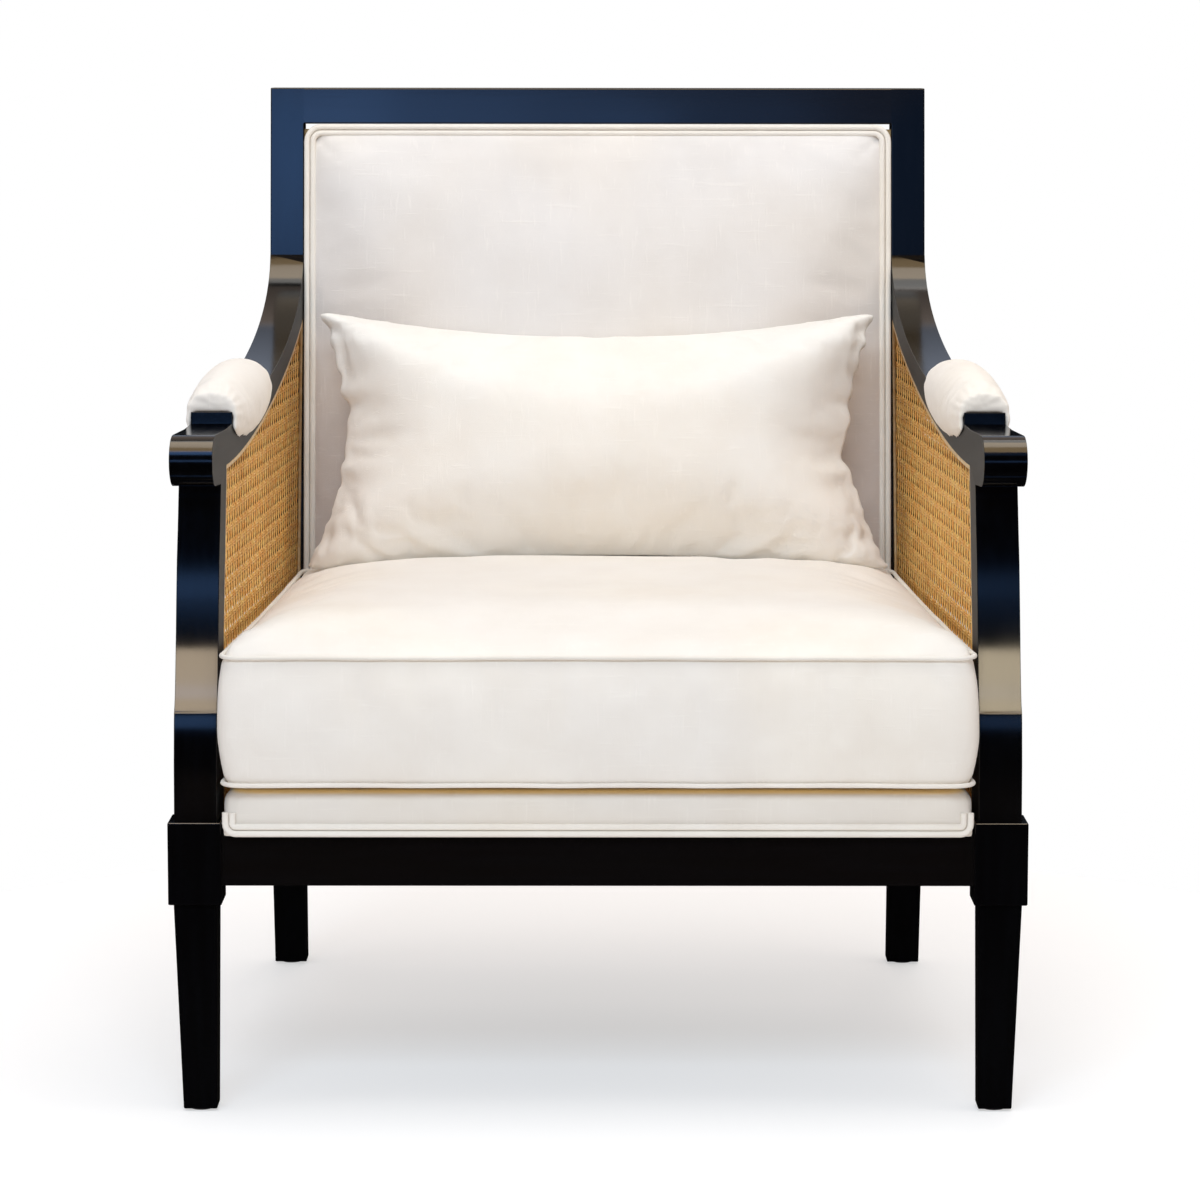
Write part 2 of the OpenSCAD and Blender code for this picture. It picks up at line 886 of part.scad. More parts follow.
// The right half of its plan, from the front to the rear
dust_half = [[block_in - dust_gap, front_rail_d + dust_lap], [block_in - dust_gap, block_d + dust_gap],
  [in_x(block_d) + dust_lap, block_d + dust_gap], [in_x(post_d) + dust_lap, post_d - dust_gap],
  [post_in - dust_gap, post_d - dust_gap], [post_in - dust_gap, rear_rail_d + rail_t - dust_lap]];

module dust_cover() {
  n = len(dust_half) - 1;
  color(black_cloth)
    translate([0, 0, rail_low - cloth_t])
      linear_extrude(height = cloth_t)
        polygon(concat([for (q = dust_half) [q[0], at_d(q[1])]],
          [for (i = [n:-1:0]) [-dust_half[i][0], at_d(dust_half[i][1])]]));
}

// Padded back: webbing, crowned pad with a flange, and a double welt on the flange

module back_webbing() {
  color(jute)
    in_back() {
      for (x = [-1, 0, 1])
        translate([x * post_in * 0.55 - web_w / 2, pad_back, open_low + 2])
          cube([web_w, web_t, open_h - 8]);
      for (k = [0:3])
        webbing_row(open_low + open_h * (0.2 + k * 0.2) - web_w / 2);
    }
}

module webbing_row(v) {
  gaps = post_in * 0.55;
  edges = [-post_in + 1, -gaps - web_w / 2, -gaps + web_w / 2, -web_w / 2, web_w / 2, gaps - web_w / 2,
    gaps + web_w / 2, post_in - 1];
  for (i = [0:2:6])
    translate([edges[i], pad_back, v])
      cube([edges[i + 1] - edges[i], web_t, web_w]);
}

function back_ring(inset, y) = [for (q = soft_square(9, 0.04))
  [q[0] * (post_in - inset), y, open_mid + q[1] * (open_h / 2 - inset)]];

flange_y = 2;
crown_step = [1, 1, 0.93, 0.8, 0.6, 0.36, 0.14];
crown_lift = [0, 0.22, 0.56, 0.78, 0.91, 0.98, 1];

function crown_ring(step, lift) = let (
    hw = post_in - welt_w - crease,
    hh = open_h / 2 - welt_w - crease)
  [for (q = soft_square(9, mix(0.6, 0.05, pow(step, 2))))
    [q[0] * (hw - (1 - step) * hh), flange_y - (back_crown + flange_y) * lift, open_mid + q[1] * hh * step]];

module back_pad() {
  rings = concat([back_ring(crease, pad_back), back_ring(crease, flange_y)],
    [for (i = [0:len(crown_step) - 1]) crown_ring(crown_step[i], crown_lift[i])]);
  color(linen)
    in_back()
      loft(rings, [0, pad_back, open_mid], [0, -back_crown, open_mid]);
}

function corner_arc(cx, cz, r, a0) = [for (i = [0:4]) let (
    a = a0 + i * 22.5)
  [cx + r * cos(a), cz + r * sin(a), a]];

// A rounded route inset all round from the opening between the posts and rails of the back
function frame_route(inset, mid, h) = let (
    hw = post_in - inset,
    hh = h / 2 - inset,
    r = corner_r - inset)
  concat(
    corner_arc(hw - r, mid + hh - r, r, 0), corner_arc(-hw + r, mid + hh - r, r, 90),
    corner_arc(-hw + r, mid - hh + r, r, 180), corner_arc(hw - r, mid - hh + r, r, 270));

// One cord of a welt round the back
module cord_loop(inset, mid, h, y) {
  r = welt_w / 4 / cos(22.5) * cord_fill;
  rings = [for (p = frame_route(inset, mid, h)) [for (i = [0:7]) let (
      q = 45 * (i + 0.5))
    [p[0] + cos(p[2]) * r * cos(q), y + r * sin(q), p[1] + sin(p[2]) * r * cos(q)]]];
  closed_sweep(rings);
}

// The cloth strip that holds the cords, from inset a to inset b, its rear face at y
module cord_strip(a, b, mid, h, y) {
  translate([0, y, 0])
    rotate([90, 0, 0])
      linear_extrude(height = welt_cloth)
        difference() {
          polygon([for (p = frame_route(a, mid, h)) [p[0], p[1]]]);
          polygon([for (p = frame_route(b, mid, h)) [p[0], p[1]]]);
        }
}

module back_welt() {
  cord = welt_w / 2;
  color(linen)
    in_back() {
      for (k = [0.5, 1.5])
        cord_loop(crease + cord * k, open_mid, open_h, flange_y - cord / 2);
      cord_strip(crease, crease + welt_w, open_mid, open_h, flange_y);
    }
}

outer_y = tack_y + tack_t;
outer_t = 2.5;

outer_low = up(frame_top + crease) + (outer_y + outer_t) * tan(recline);
outer_high = open_high - 2;
outer_mid = (outer_low + outer_high) / 2;

module outside_back() {
  color(linen)
    in_back()
      translate([-post_in + crease, outer_y, outer_low])
        cube([(post_in - crease) * 2, outer_t, outer_high - outer_low]);
}

module outside_back_welt() {
  cord = welt_w / 2;
  h = outer_high - outer_low;
  y = outer_y + outer_t;
  color(linen)
    in_back() {
      cord_loop(crease + cord / 2, outer_mid, h, y + cord / 2);
      cord_strip(crease, crease + cord, outer_mid, h, y + welt_cloth);
    }
}

// Arm pads: an egg-shaped sleeve over the arm, open underneath

pad_stations = 12;

function pad_swell(t) = pow(max(0, sin(180 * mix(0.06, 1, t))), 0.42);

function pad_ring(t) = let (
    d = lip_d + 1 + (pad_l - 1) * t,
    z = arm_z(d),
    k = pad_swell(t),
    mid_x = (in_x(d) + out_x(d)) / 2,
    hw = (out_x(d) - in_x(d)) / 2 + pad_side * k,
    top = pad_h * k,
    deep = arm_t * 0.93)
  [for (i = [23:-1:0]) let (
      a = 15 * (i + 0.5),
      c = cos(a),
      s = sin(a))
    [mid_x + hw * sign(c) * pow(abs(c), 0.8), at_d(d),
      z - 4 + (s > 0 ? (top + 4) * pow(s, 0.8) : -(deep - 4) * mix(0.4, 1, k) * pow(-s, 0.7))]];

// Height of the arm's top at a depth, from its curve
function arm_z(d) = let (
    hits = [for (i = [0:curve_n - 1]) if (arm_top[i][0] <= d && arm_top[i + 1][0] > d)
      mix(arm_top[i][1], arm_top[i + 1][1], (d - arm_top[i][0]) / (arm_top[i + 1][0] - arm_top[i][0]))])
  len(hits) > 0 ? hits[0] : lip_z;

module arm_pad(s) {
  rings = [for (j = [0:pad_stations]) pad_ring(j / pad_stations)];
  color(linen)
    both(s)
      difference() {
        loft(rings, [in_x(lip_d) + arm_t / 2, at_d(lip_d + 1), arm_z(lip_d) - 4],
          [in_x(lip_d + pad_l) + arm_t / 2, at_d(lip_d + pad_l), arm_z(lip_d + pad_l) - 4]);
        under_pad();
      }
}

// Everything below the arm's top between its two sides, so that a pad's flanks hang clear of the cane
module under_pad() {
  intersection() {
    across(post_in - 20, seat_w / 2)
      outline(concat([[lip_d, frame_top]], arm_top, [[join_d, frame_top]]));
    side_board(0, 0);
  }
}

// Loose seat cushion: crowned top, boxed sides that swell, drawn-in seams, flat below

cushion_low = deck_top + soft_gap;
cushion_n = 11;
seam_in = 4.5;
cushion_front = -cushion_ahead;
cushion_back = post_d - 8;
cushion_gap = 2;

// The share of the crown that the pillow's weight presses out of the rear of the cushion
pillow_dent = 0.62;
function ramp(v) = let (c = min(1, max(0, v))) c * c * (3 - 2 * c);
function pressed(t) = 1 - pillow_dent * ramp((t - 0.68) / 0.16);

// scale shrinks the ring about its middle, swell pushes it out, draw pulls its sides in between
// corners, and crown is how far the ring stands above its seam
function cushion_ring(scale, swell, z, draw, crown = 0) = [for (q = soft_square(cushion_n, 0.05)) let (
    t = (q[1] + 1) / 2,
    d = mix(cushion_front - max(0, swell), cushion_back, t),
    side = in_x(max(0, d)) - cushion_gap - seam_in + min(seam_in, swell),
    pull_x = draw * (1 - q[1] * q[1]),
    pull_y = draw * (1 - q[0] * q[0]))
  [q[0] * (side * scale - pull_x * abs(q[0])),
    mix(at_d((cushion_front + cushion_back) / 2), at_d(d), scale) - pull_y * q[1],
    z + cushion_rise * t * (z - cushion_low) / cushion_h + crown * pressed(mix(0.5, t, scale))]];

module seat_cushion() {
  seam = cushion_low + cushion_h;
  rings = concat(
    [cushion_ring(0.94, 0, cushion_low, 0), cushion_ring(0.985, 0, cushion_low + 1.5, 1),
      cushion_ring(1, 0, cushion_low + 6, 2)],
    [for (i = [1:5]) let (t = i / 6)
      cushion_ring(1, cushion_bulge * sin(180 * t), cushion_low + 6 + (cushion_h - 6) * t, 1)],
    [cushion_ring(1, 0, seam, 3)],
    [for (u = [[0.985, 0.34], [0.95, 0.54], [0.88, 0.72], [0.74, 0.87], [0.56, 0.95], [0.36, 0.99], [0.16, 1]])
      cushion_ring(u[0], 0, seam, 3 * u[0], cushion_crown * u[1])]);
  mid = at_d((cushion_front + cushion_back) / 2);
  color(linen)
    difference() {
      loft(rings, [0, mid, cushion_low], [0, mid, seam + cushion_crown + cushion_rise / 2]);
      zip_recess();
    }
}

// Zip along the rear boxing, in a flat strip

zip_l = 520;
zip_h = 26;
zip_t = 2;
zip_z = cushion_low + cushion_h * 0.5;
zip_face = cushion_back - 1;
slider_l = 12;

module zip_recess() {
  translate([-zip_l / 2 - 10, at_d(zip_face - zip_t), zip_z - zip_h / 2 - 4])
    cube([zip_l + 20, 40, zip_h + 8]);
}

module cushion_zip() {
  color(linen)
    translate([-zip_l / 2, at_d(zip_face - zip_t), zip_z - zip_h / 2])
      cube([zip_l, 1, zip_h]);
  color(steel)
    translate([-zip_l / 2 + 4, at_d(zip_face - zip_t + 1), zip_z - 2])
      cube([zip_l - 8, 1, 4]);
}

module zip_slider() {
  color(steel)
    translate([zip_l / 2 - slider_l - 6, at_d(zip_face - zip_t + 2.2), zip_z - 4]) {
      cube([slider_l, 1.6, 8]);
      translate([slider_l / 2 - 2.5, 0.3, -8])
        cube([5, 1, 10]);
    }
}

// Lumbar pillow: knife edge all round, sides and top drawn in between the corners

pillow_lean = recline + 4;
pillow_n = 12;
pillow_base = cushion_low + cushion_h + cushion_crown - 24;
pillow_ahead = 54.5;
pillow_steps = [0.16, 0.4, 0.62, 0.8, 0.92, 1];
pillow_full = [0.99, 0.92, 0.77, 0.55, 0.3, 0.02];

// How far the pillow's sides, top and bottom are drawn in at their middles
pillow_side_in = 36;
pillow_top_in = 28;
pillow_low_in = 22;

function pillow_ring(s, y) = [for (q = soft_square(pillow_n, mix(0.7, 0.06, s))) let (
    in_side = pillow_side_in * (1 - q[1] * q[1]),
    in_top = (q[1] > 0 ? pillow_top_in : pillow_low_in) * (1 - q[0] * q[0]))
  [s * q[0] * (pillow_w / 2 * (1 - 0.022 * q[1]) - in_side * s),
    y,
    s * q[1] * (pillow_h / 2 - in_top * s)]];

module lumbar_pillow() {
  n = len(pillow_steps);
  half = pillow_t / 2;
  rings = concat(
    [for (i = [0:n - 1]) pillow_ring(pillow_steps[i], half * pillow_full[i])],
    [for (i = [n - 2:-1:0]) pillow_ring(pillow_steps[i], -half * pillow_full[i])]);
  color(linen)
    translate([0, at_d(post_d - pillow_ahead), pillow_base + pillow_h / 2])
      rotate([-pillow_lean, 0, 0])
        loft(rings, [0, half, 0], [0, -half, 0]);
}

front_leg(-1);  // left_front_leg
front_leg(1);  // right_front_leg
back_post(-1);  // left_back_post
back_post(1);  // right_back_post
front_seat_rail();
rear_seat_rail();
side_rail(-1);  // left_seat_rail
side_rail(1);  // right_seat_rail
arm_post(-1);  // left_arm_post
arm_post(1);  // right_arm_post
arm(-1);  // left_arm
arm(1);  // right_arm
top_rail();
lower_back_rail();
tacking_strips();
cane_panel(-1);  // left_cane_panel
cane_panel(1);  // right_cane_panel
cane_spline(-1);  // left_cane_spline
cane_spline(1);  // right_cane_spline
outer_cane(-1);  // left_outer_cane
outer_cane(1);  // right_outer_cane
outer_spline(-1);  // left_outer_spline
outer_spline(1);  // right_outer_spline
corner_braces();
brace_screws();
frame_dowels();
leg_glides();
seat_springs();
spring_clips();
spring_cover();
seat_deck();
deck_welt();
dust_cover();
back_webbing();
back_pad();
back_welt();
outside_back();
outside_back_welt();
arm_pad(-1);  // left_arm_pad
arm_pad(1);  // right_arm_pad
seat_cushion();
cushion_zip();
zip_slider();
lumbar_pillow();
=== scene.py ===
import math

import bmesh
import bpy
from mathutils import Matrix, Vector, noise


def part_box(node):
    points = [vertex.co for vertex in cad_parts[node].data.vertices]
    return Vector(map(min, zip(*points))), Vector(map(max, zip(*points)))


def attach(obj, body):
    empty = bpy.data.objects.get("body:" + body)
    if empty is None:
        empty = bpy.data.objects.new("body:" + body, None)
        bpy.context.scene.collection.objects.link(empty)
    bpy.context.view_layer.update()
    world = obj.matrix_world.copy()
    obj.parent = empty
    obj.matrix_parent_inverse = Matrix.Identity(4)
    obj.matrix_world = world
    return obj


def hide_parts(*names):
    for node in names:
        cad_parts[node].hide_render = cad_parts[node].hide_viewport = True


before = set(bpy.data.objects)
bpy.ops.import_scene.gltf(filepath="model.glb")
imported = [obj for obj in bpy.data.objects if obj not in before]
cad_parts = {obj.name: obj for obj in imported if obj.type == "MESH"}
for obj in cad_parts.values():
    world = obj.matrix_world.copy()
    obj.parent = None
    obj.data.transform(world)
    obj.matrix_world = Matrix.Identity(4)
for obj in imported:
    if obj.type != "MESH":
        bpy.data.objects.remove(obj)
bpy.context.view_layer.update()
scene = bpy.context.scene

# Sizes that the frame was built to, in metres, for the pieces that follow it
chair = {
    "middle": 0.35127,      # depth of the origin behind the corner blocks
    "recline": math.radians(7.8),
    "frameTop": 0.262,
    "postDepth": 0.600,
    "postIn": 0.300,        # half the opening between the back posts
    "blockIn": 0.3325,      # half the opening between the corner blocks
    "sideIn": 0.3375,       # inner face of the side frames at the front
    "inTaper": 0.05644,
    "openLow": 0.0444,      # opening of the back, up the recline
    "openHigh": 0.6081,
}


def atDepth(d):
    return d - chair["middle"]


def sideInner(d):
    return chair["sideIn"] - d * chair["inTaper"]


def smoothStep(a, b, v):
    t = min(1.0, max(0.0, (v - a) / (b - a)))
    return t * t * (3 - 2 * t)


def uneven(x, y, z):
    # A smooth value, about -1 to 1, that makes cloth and cord a little irregular
    return noise.noise(Vector((x, y, z)))


# The reclined plane of the back: x across, y out of its rear, z up the slope
backFrame = Matrix.Translation((0, atDepth(chair["postDepth"]), chair["frameTop"])) \
    @ Matrix.Rotation(-chair["recline"], 4, "X")

# Camera, as the photograph was taken
view = {"place": (-0.0058, -4.1021, 0.9326), "yaw": -0.112, "pitch": 7.174, "roll": 0.058, "lens": 129.45}


def placed(name, data):
    made = bpy.data.objects.new(name, data)
    scene.collection.objects.link(made)
    return made


def makeCamera():
    data = bpy.data.cameras.new("camera")
    data.lens, data.sensor_width = view["lens"], 36
    data.clip_end = 60
    camera = placed("camera", data)
    turn = Matrix.Rotation(math.radians(view["yaw"]), 4, "Z") \
        @ Matrix.Rotation(math.radians(90 - view["pitch"]), 4, "X")
    camera.matrix_world = Matrix.Translation(view["place"]) @ turn @ Matrix.Rotation(math.radians(view["roll"]), 4, "Z")
    scene.camera = camera


makeCamera()
scene.view_settings.view_transform = "Standard"


# Shader maths as Python: a Wire is one output, and its operators add Math nodes
class Wire:
    def __init__(self, finish, socket):
        self.finish, self.socket = finish, socket

    def maths(self, operation, *values):
        return self.finish.node("Math", {"operation": operation}, dict(enumerate(values)))

    def __add__(self, other):
        return self.maths("ADD", self, other)

    def __sub__(self, other):
        return self.maths("SUBTRACT", self, other)

    def __rsub__(self, other):
        return self.maths("SUBTRACT", other, self)

    def __mul__(self, other):
        return self.maths("MULTIPLY", self, other)

    def __truediv__(self, other):
        return self.maths("DIVIDE", self, other)

    def __pow__(self, other):
        return self.maths("POWER", self, other)

    def __abs__(self):
        return self.maths("ABSOLUTE", self)

    __radd__, __rmul__ = __add__, __mul__

    def wave(self):
        return self.maths("SINE", self)

    def ramp(self, low, high, to0=0.0, to1=1.0):
        return self.finish.node("MapRange", {"interpolation_type": "SMOOTHSTEP"},
            {"Value": self, "From Min": low, "From Max": high, "To Min": to0, "To Max": to1})


class Finish:
    def __init__(self, name, **sockets):
        self.material = bpy.data.materials.new(name)
        self.material.use_nodes = True
        self.tree = self.material.node_tree
        self.shader = self.tree.nodes["Principled BSDF"]
        for socket, value in sockets.items():
            self.plug(self.shader.inputs[socket.replace("_", " ")], value)
        self.place = self.node("TexCoord", out="Object")

    def plug(self, socket, value):
        if isinstance(value, Wire):
            self.tree.links.new(value.socket, socket)
        else:
            socket.default_value = value

    def node(self, kind, settings=None, inputs=None, out=0):
        made = self.tree.nodes.new("ShaderNode" + kind)
        for key, value in (settings or {}).items():
            if key == "stops":
                ramp = made.color_ramp
                for i, (at, colour) in enumerate(value):
                    stop = ramp.elements[i] if i < 2 else ramp.elements.new(at)
                    stop.position, stop.color = at, colour
            else:
                setattr(made, key, value)
        for key, value in (inputs or {}).items():
            self.plug(made.inputs[key], value)
        return Wire(self, made.outputs[out])

    def stretched(self, scale, turn=(0, 0, 0)):
        return self.node("Mapping", None, {"Vector": self.place, "Scale": scale, "Rotation": turn})

    def noise(self, scale, vector=None, detail=2.0, roughness=0.5, distortion=0.0):
        return self.node("TexNoise", None, {"Vector": vector or self.place, "Scale": scale, "Detail": detail,
            "Roughness": roughness, "Distortion": distortion})

    def mix(self, factor, a, b, blend="MIX"):
        return self.node("MixRGB", {"blend_type": blend}, {"Fac": factor, "Color1": a, "Color2": b})

    def parts(self, vector):
        made = self.tree.nodes.new("ShaderNodeSeparateXYZ")
        self.plug(made.inputs[0], vector)
        return [Wire(self, made.outputs[i]) for i in range(3)]

    def bump(self, height, strength, distance, under=None):
        inputs = {"Height": height, "Strength": strength, "Distance": distance}
        if under is not None:
            inputs["Normal"] = under
        return self.node("Bump", None, inputs)

    def set(self, **sockets):
        for socket, value in sockets.items():
            self.plug(self.shader.inputs[socket.replace("_", " ")], value)
        return self.material


def rgb(code, alpha=1.0):
    def linear(c):
        return c / 12.92 if c <= 0.04045 else ((c + 0.055) / 1.055) ** 2.4
    return tuple(linear(int(code[i:i + 2], 16) / 255) for i in (1, 3, 5)) + (alpha,)


# Lacquer over wood: grain streaks run along the board, and the edges are rubbed a little thinner
lacquer = {"deep": "#010102", "worn": "#040508", "gloss": 0.1, "satin": 0.17, "side": 0.42, "grain": 34.0}


def lacquerFinish(name, along):
    made = Finish(name, Specular_IOR_Level=0.5)
    scale = [1.0, 1.0, 1.0]
    scale[along] = 0.06
    grain = made.noise(lacquer["grain"] * 4, made.stretched(scale), 4.0, 0.62)
    broad = made.noise(lacquer["grain"] * 0.35, made.stretched([s ** 0.5 for s in scale]), 2.0)
    dust = made.noise(900.0, None, 1.0)
    edge = made.node("NewGeometry", out="Pointiness").ramp(0.52, 0.6)
    streak = grain.ramp(0.35, 0.7)
    colour = made.mix(streak * 0.55 + broad * 0.3, rgb(lacquer["deep"]), rgb(lacquer["worn"]))
    colour = made.mix(edge * 0.3, colour, rgb("#1c1714"))
    sideways = abs(made.parts(made.node("NewGeometry", out="Normal"))[0]).ramp(0.8, 0.97)
    rough = lacquer["gloss"] + (lacquer["satin"] - lacquer["gloss"]) * broad.ramp(0.3, 0.75) + grain * 0.05
    rough = rough + sideways * lacquer["side"]
    bump = made.bump(grain, 0.12, 0.00035)
    bump = made.bump(dust, 0.05, 0.00012, bump)
    return made.set(Base_Color=colour, Roughness=rough, Normal=bump)


# Linen: threads by the way the cloth faces, with thicker slubs and a soft mottle
linen = {"light": "#f4ede2", "shade": "#e9dfd1", "cool": "#ece9e6", "thread": 0.00085}


def clothFinish(name, light, shade, cool, thread, slub=1.0, sheen=0.25, deep=0.00016, platform=None, paintedShade=None):
    made = Finish(name, Roughness=0.92, Specular_IOR_Level=0.25, Sheen_Weight=sheen, Sheen_Roughness=0.5)
    light, shade, cool = rgb(light), rgb(shade), rgb(cool)
    x, y, z = made.parts(made.place)
    nx, ny, nz = [abs(c) for c in made.parts(made.node("NewGeometry", out="Normal"))]
    turns = 2 * math.pi / thread

    def weave(a, b):
        return (a * turns).wave() * (b * turns).wave() * 0.5 + 0.5

    facing = [nx ** 4, ny ** 4, nz ** 4]
    total = facing[0] + facing[1] + facing[2] + 0.001
    cloth = (weave(y, z) * facing[0] + weave(x, z) * facing[1] + weave(x, y) * facing[2]) / total
    across = made.noise(260.0, made.stretched((0.07, 0.5, 1.0)), 3.0, 0.6)
    upward = made.noise(260.0, made.stretched((1.0, 0.5, 0.07)), 3.0, 0.6)
    slubs = across.ramp(0.56, 0.78) + upward.ramp(0.56, 0.78)
    mottle = made.noise(14.0, None, 3.0, 0.55).ramp(0.3, 0.72)
    warm = made.noise(4.5, None, 1.0).ramp(0.35, 0.65)
    colour = made.mix(mottle * 0.5, light, shade)
    colour = made.mix(warm * 0.35, colour, cool)
    if platform:  # the deck's top is tan above a given height
        colour = made.mix(z.ramp(platform[0], platform[1]), colour, platform[2])
    if paintedShade:  # painted shade: the back is greyer low down, towards its sides, where the arms shade it
        colour = made.mix(z.ramp(paintedShade[0], paintedShade[1], 0.5, 0.0) * abs(x).ramp(0.1, 0.28), colour, paintedShade[2])
    colour = made.mix(slubs * (0.16 * slub), colour, rgb("#fffaf2"))
    colour = made.mix(cloth * 0.12, colour, shade)
    soft = made.noise(55.0, None, 2.0)
    bump = made.bump(soft, 0.25, 0.0012)
    bump = made.bump(slubs, 0.35 * slub, 0.0003, bump)
    bump = made.bump(cloth, 0.45, deep, bump)
    return made.set(Base_Color=colour, Normal=bump)


def caneFinish(name, light, dark, gloss):
    made = Finish(name, Specular_IOR_Level=0.5)
    fibre = made.noise(700.0, made.stretched((1.0, 1.0, 0.25)), 3.0, 0.6)
    strand = made.noise(120.0, None, 2.0, 0.6).ramp(0.25, 0.75)
    patch = made.noise(9.0, None, 2.0).ramp(0.3, 0.7)
    colour = made.mix(strand, rgb(light), rgb(dark))
    colour = made.mix(patch * 0.18, colour, rgb("#b0722c"))
    colour = made.mix(fibre.ramp(0.6, 0.8) * 0.25, colour, rgb("#7a4e1f"))
    x, y, z = made.parts(made.place)
    # painted shade: darker brown towards the rear and the top, for the shade that the arm pad and the back cast on the
    # cane
    colour = made.mix((y + z * 0.35).ramp(0.10, 0.42) * 0.35, colour, rgb("#86490f"))
    bump = made.bump(fibre, 0.4, 0.0002)
    return made.set(Base_Color=colour, Roughness=gloss + fibre * 0.25, Normal=bump)


def woodFinish(name):
    made = Finish(name, Specular_IOR_Level=0.4)
    ring = made.node("TexWave", {"wave_type": "RINGS", "rings_direction": "X"},
        {"Vector": made.stretched((0.3, 1.0, 1.0)), "Scale": 60.0, "Distortion": 3.0, "Detail": 2.0})
    pore = made.noise(900.0, made.stretched((0.06, 1.0, 1.0)), 2.0)
    colour = made.mix(ring, rgb("#d9b987"), rgb("#c59f6a"))
    colour = made.mix(pore.ramp(0.55, 0.75) * 0.5, colour, rgb("#9c7443"))
    return made.set(Base_Color=colour, Roughness=0.5 + pore * 0.2, Normal=made.bump(pore, 0.3, 0.0002))


def metalFinish(name, light, dark, rough):
    made = Finish(name, Metallic=1.0)
    stain = made.noise(90.0, None, 4.0, 0.6).ramp(0.35, 0.75)
    brush = made.noise(600.0, made.stretched((1.0, 0.1, 1.0)), 2.0)
    colour = made.mix(stain * 0.6, rgb(light), rgb(dark))
    return made.set(Base_Color=colour, Roughness=rough + stain * 0.2, Normal=made.bump(brush, 0.15, 0.0001))


def nylonFinish(name):
    made = Finish(name, Specular_IOR_Level=0.4)
    grit = made.noise(1500.0, None, 2.0)
    scuff = made.noise(160.0, None, 4.0).ramp(0.5, 0.8)
    colour = made.mix(scuff * 0.5, rgb("#333335"), rgb("#5d5d5f"))
    return made.set(Base_Color=colour, Roughness=0.45 + scuff * 0.25, Normal=made.bump(grit, 0.2, 0.0001))


def strapFinish(name, light, dark, thread):
    made = Finish(name, Roughness=0.95, Specular_IOR_Level=0.15, Sheen_Weight=0.15)
    x, y, z = made.parts(made.place)
    turns = 2 * math.pi / thread
    twill = ((x + z + y) * turns).wave() * ((x - z) * turns).wave() * 0.5 + 0.5
    fuzz = made.noise(500.0, None, 3.0, 0.7)
    colour = made.mix(twill * 0.6 + fuzz * 0.4, rgb(dark), rgb(light))
    return made.set(Base_Color=colour, Normal=made.bump(fuzz, 0.3, 0.0002, made.bump(twill, 0.6, 0.0004)))


print("finishes")
finishes = {
    "railLacquer": lacquerFinish("lacquer_across", 0),
    "armLacquer": lacquerFinish("lacquer_along", 1),
    "postLacquer": lacquerFinish("lacquer_upright", 2),
    "linen": clothFinish("linen", linen["light"], linen["shade"], linen["cool"], linen["thread"]),
    # painted shade: the back's linen is a darker, cooler copy of the linen, and is painted greyer still low down
    # towards its sides, where the arms shade it
    "backLinenPaintedShade": clothFinish("back_linen_painted_shade", "#e9e2da", "#ddd4c9", "#dedee1", linen["thread"],
        paintedShade=(0.5, 0.8, rgb("#b8a296"))),
    "pillowLinen": clothFinish("pillow_linen", "#f2ece3", "#eae1d4", "#ecebe8", 0.0009, 1.2),
    "deckLinen": clothFinish("deck_linen", "#ebe3d7", "#dfd4c5", "#e3dfda", linen["thread"],
        platform=(0.2865, 0.2895, rgb("#ffdc8f"))),
    "piping": clothFinish("piping_linen", "#f2ebe0", "#e3d8c8", "#eae6e0", 0.0008, 0.6, 0.2),
    "cane": caneFinish("cane", "#ffd982", "#f2a84a", 0.36),
    # painted shade: a dark brown cane for the inward faces of the outer sheets, seen in shade through the holes
    "canePaintedShade": caneFinish("cane_painted_shade", "#a5652a", "#6f3d14", 0.6),
    "spline": caneFinish("cane_spline", "#e6cfa4", "#cfae78", 0.42),
    "beech": woodFinish("beech"),
    "steel": metalFinish("spring_steel", "#8b8f94", "#5a5550", 0.32),
    "zinc": metalFinish("bright_steel", "#b9bcbf", "#8d8f92", 0.25),
    "nylon": nylonFinish("nylon"),
    "jute": strapFinish("jute", "#b59a6b", "#86693f", 0.0024),
    "duck": strapFinish("spring_canvas", "#c9b891", "#a38c5f", 0.0016),
    "dust": strapFinish("dust_cloth", "#26262a", "#111113", 0.0014),
    "zipTape": strapFinish("zip_tape", "#e9e1d4", "#cbbfae", 0.0009),
}


# Helpers that finish a mesh and hang it on the frame
def asPiece(name, work, finish, body="frame", replaces=(), smooth=True):
    mesh = bpy.data.meshes.new(name)
    work.normal_update()
    work.to_mesh(mesh)
    work.free()
    mesh.materials.append(finishes[finish])
    piece = placed(name, mesh)
    if smooth:
        mesh.polygons.foreach_set("use_smooth", [True] * len(mesh.polygons))
    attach(piece, body)
    if replaces:
        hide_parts(*replaces)
    return piece


def nodeCopy(node, join=1e-6, flat=0.0):
    work = bmesh.new()
    work.from_mesh(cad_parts[node].data)
    bmesh.ops.remove_doubles(work, verts=work.verts, dist=join)
    if flat:
        bmesh.ops.dissolve_limit(work, angle_limit=math.radians(flat), verts=work.verts, edges=work.edges)
    for face in work.faces:
        face.material_index = 0
    return work


def addModifier(piece, name, kind, **settings):
    made = piece.modifiers.new(name, kind)
    for key, value in settings.items():
        setattr(made, key, value)
    return made


def evaluatedMesh(piece):
    return bpy.data.meshes.new_from_object(piece.evaluated_get(bpy.context.evaluated_depsgraph_get()))


def takenMesh(curve):
    # The mesh that a curve makes, once the curve itself is gone
    bpy.context.view_layer.update()
    mesh = evaluatedMesh(curve)
    bpy.data.objects.remove(curve)
    return mesh


def applied(piece):
    mesh = evaluatedMesh(piece)
    old = piece.data
    piece.modifiers.clear()
    piece.data = mesh
    bpy.data.meshes.remove(old)
    return piece


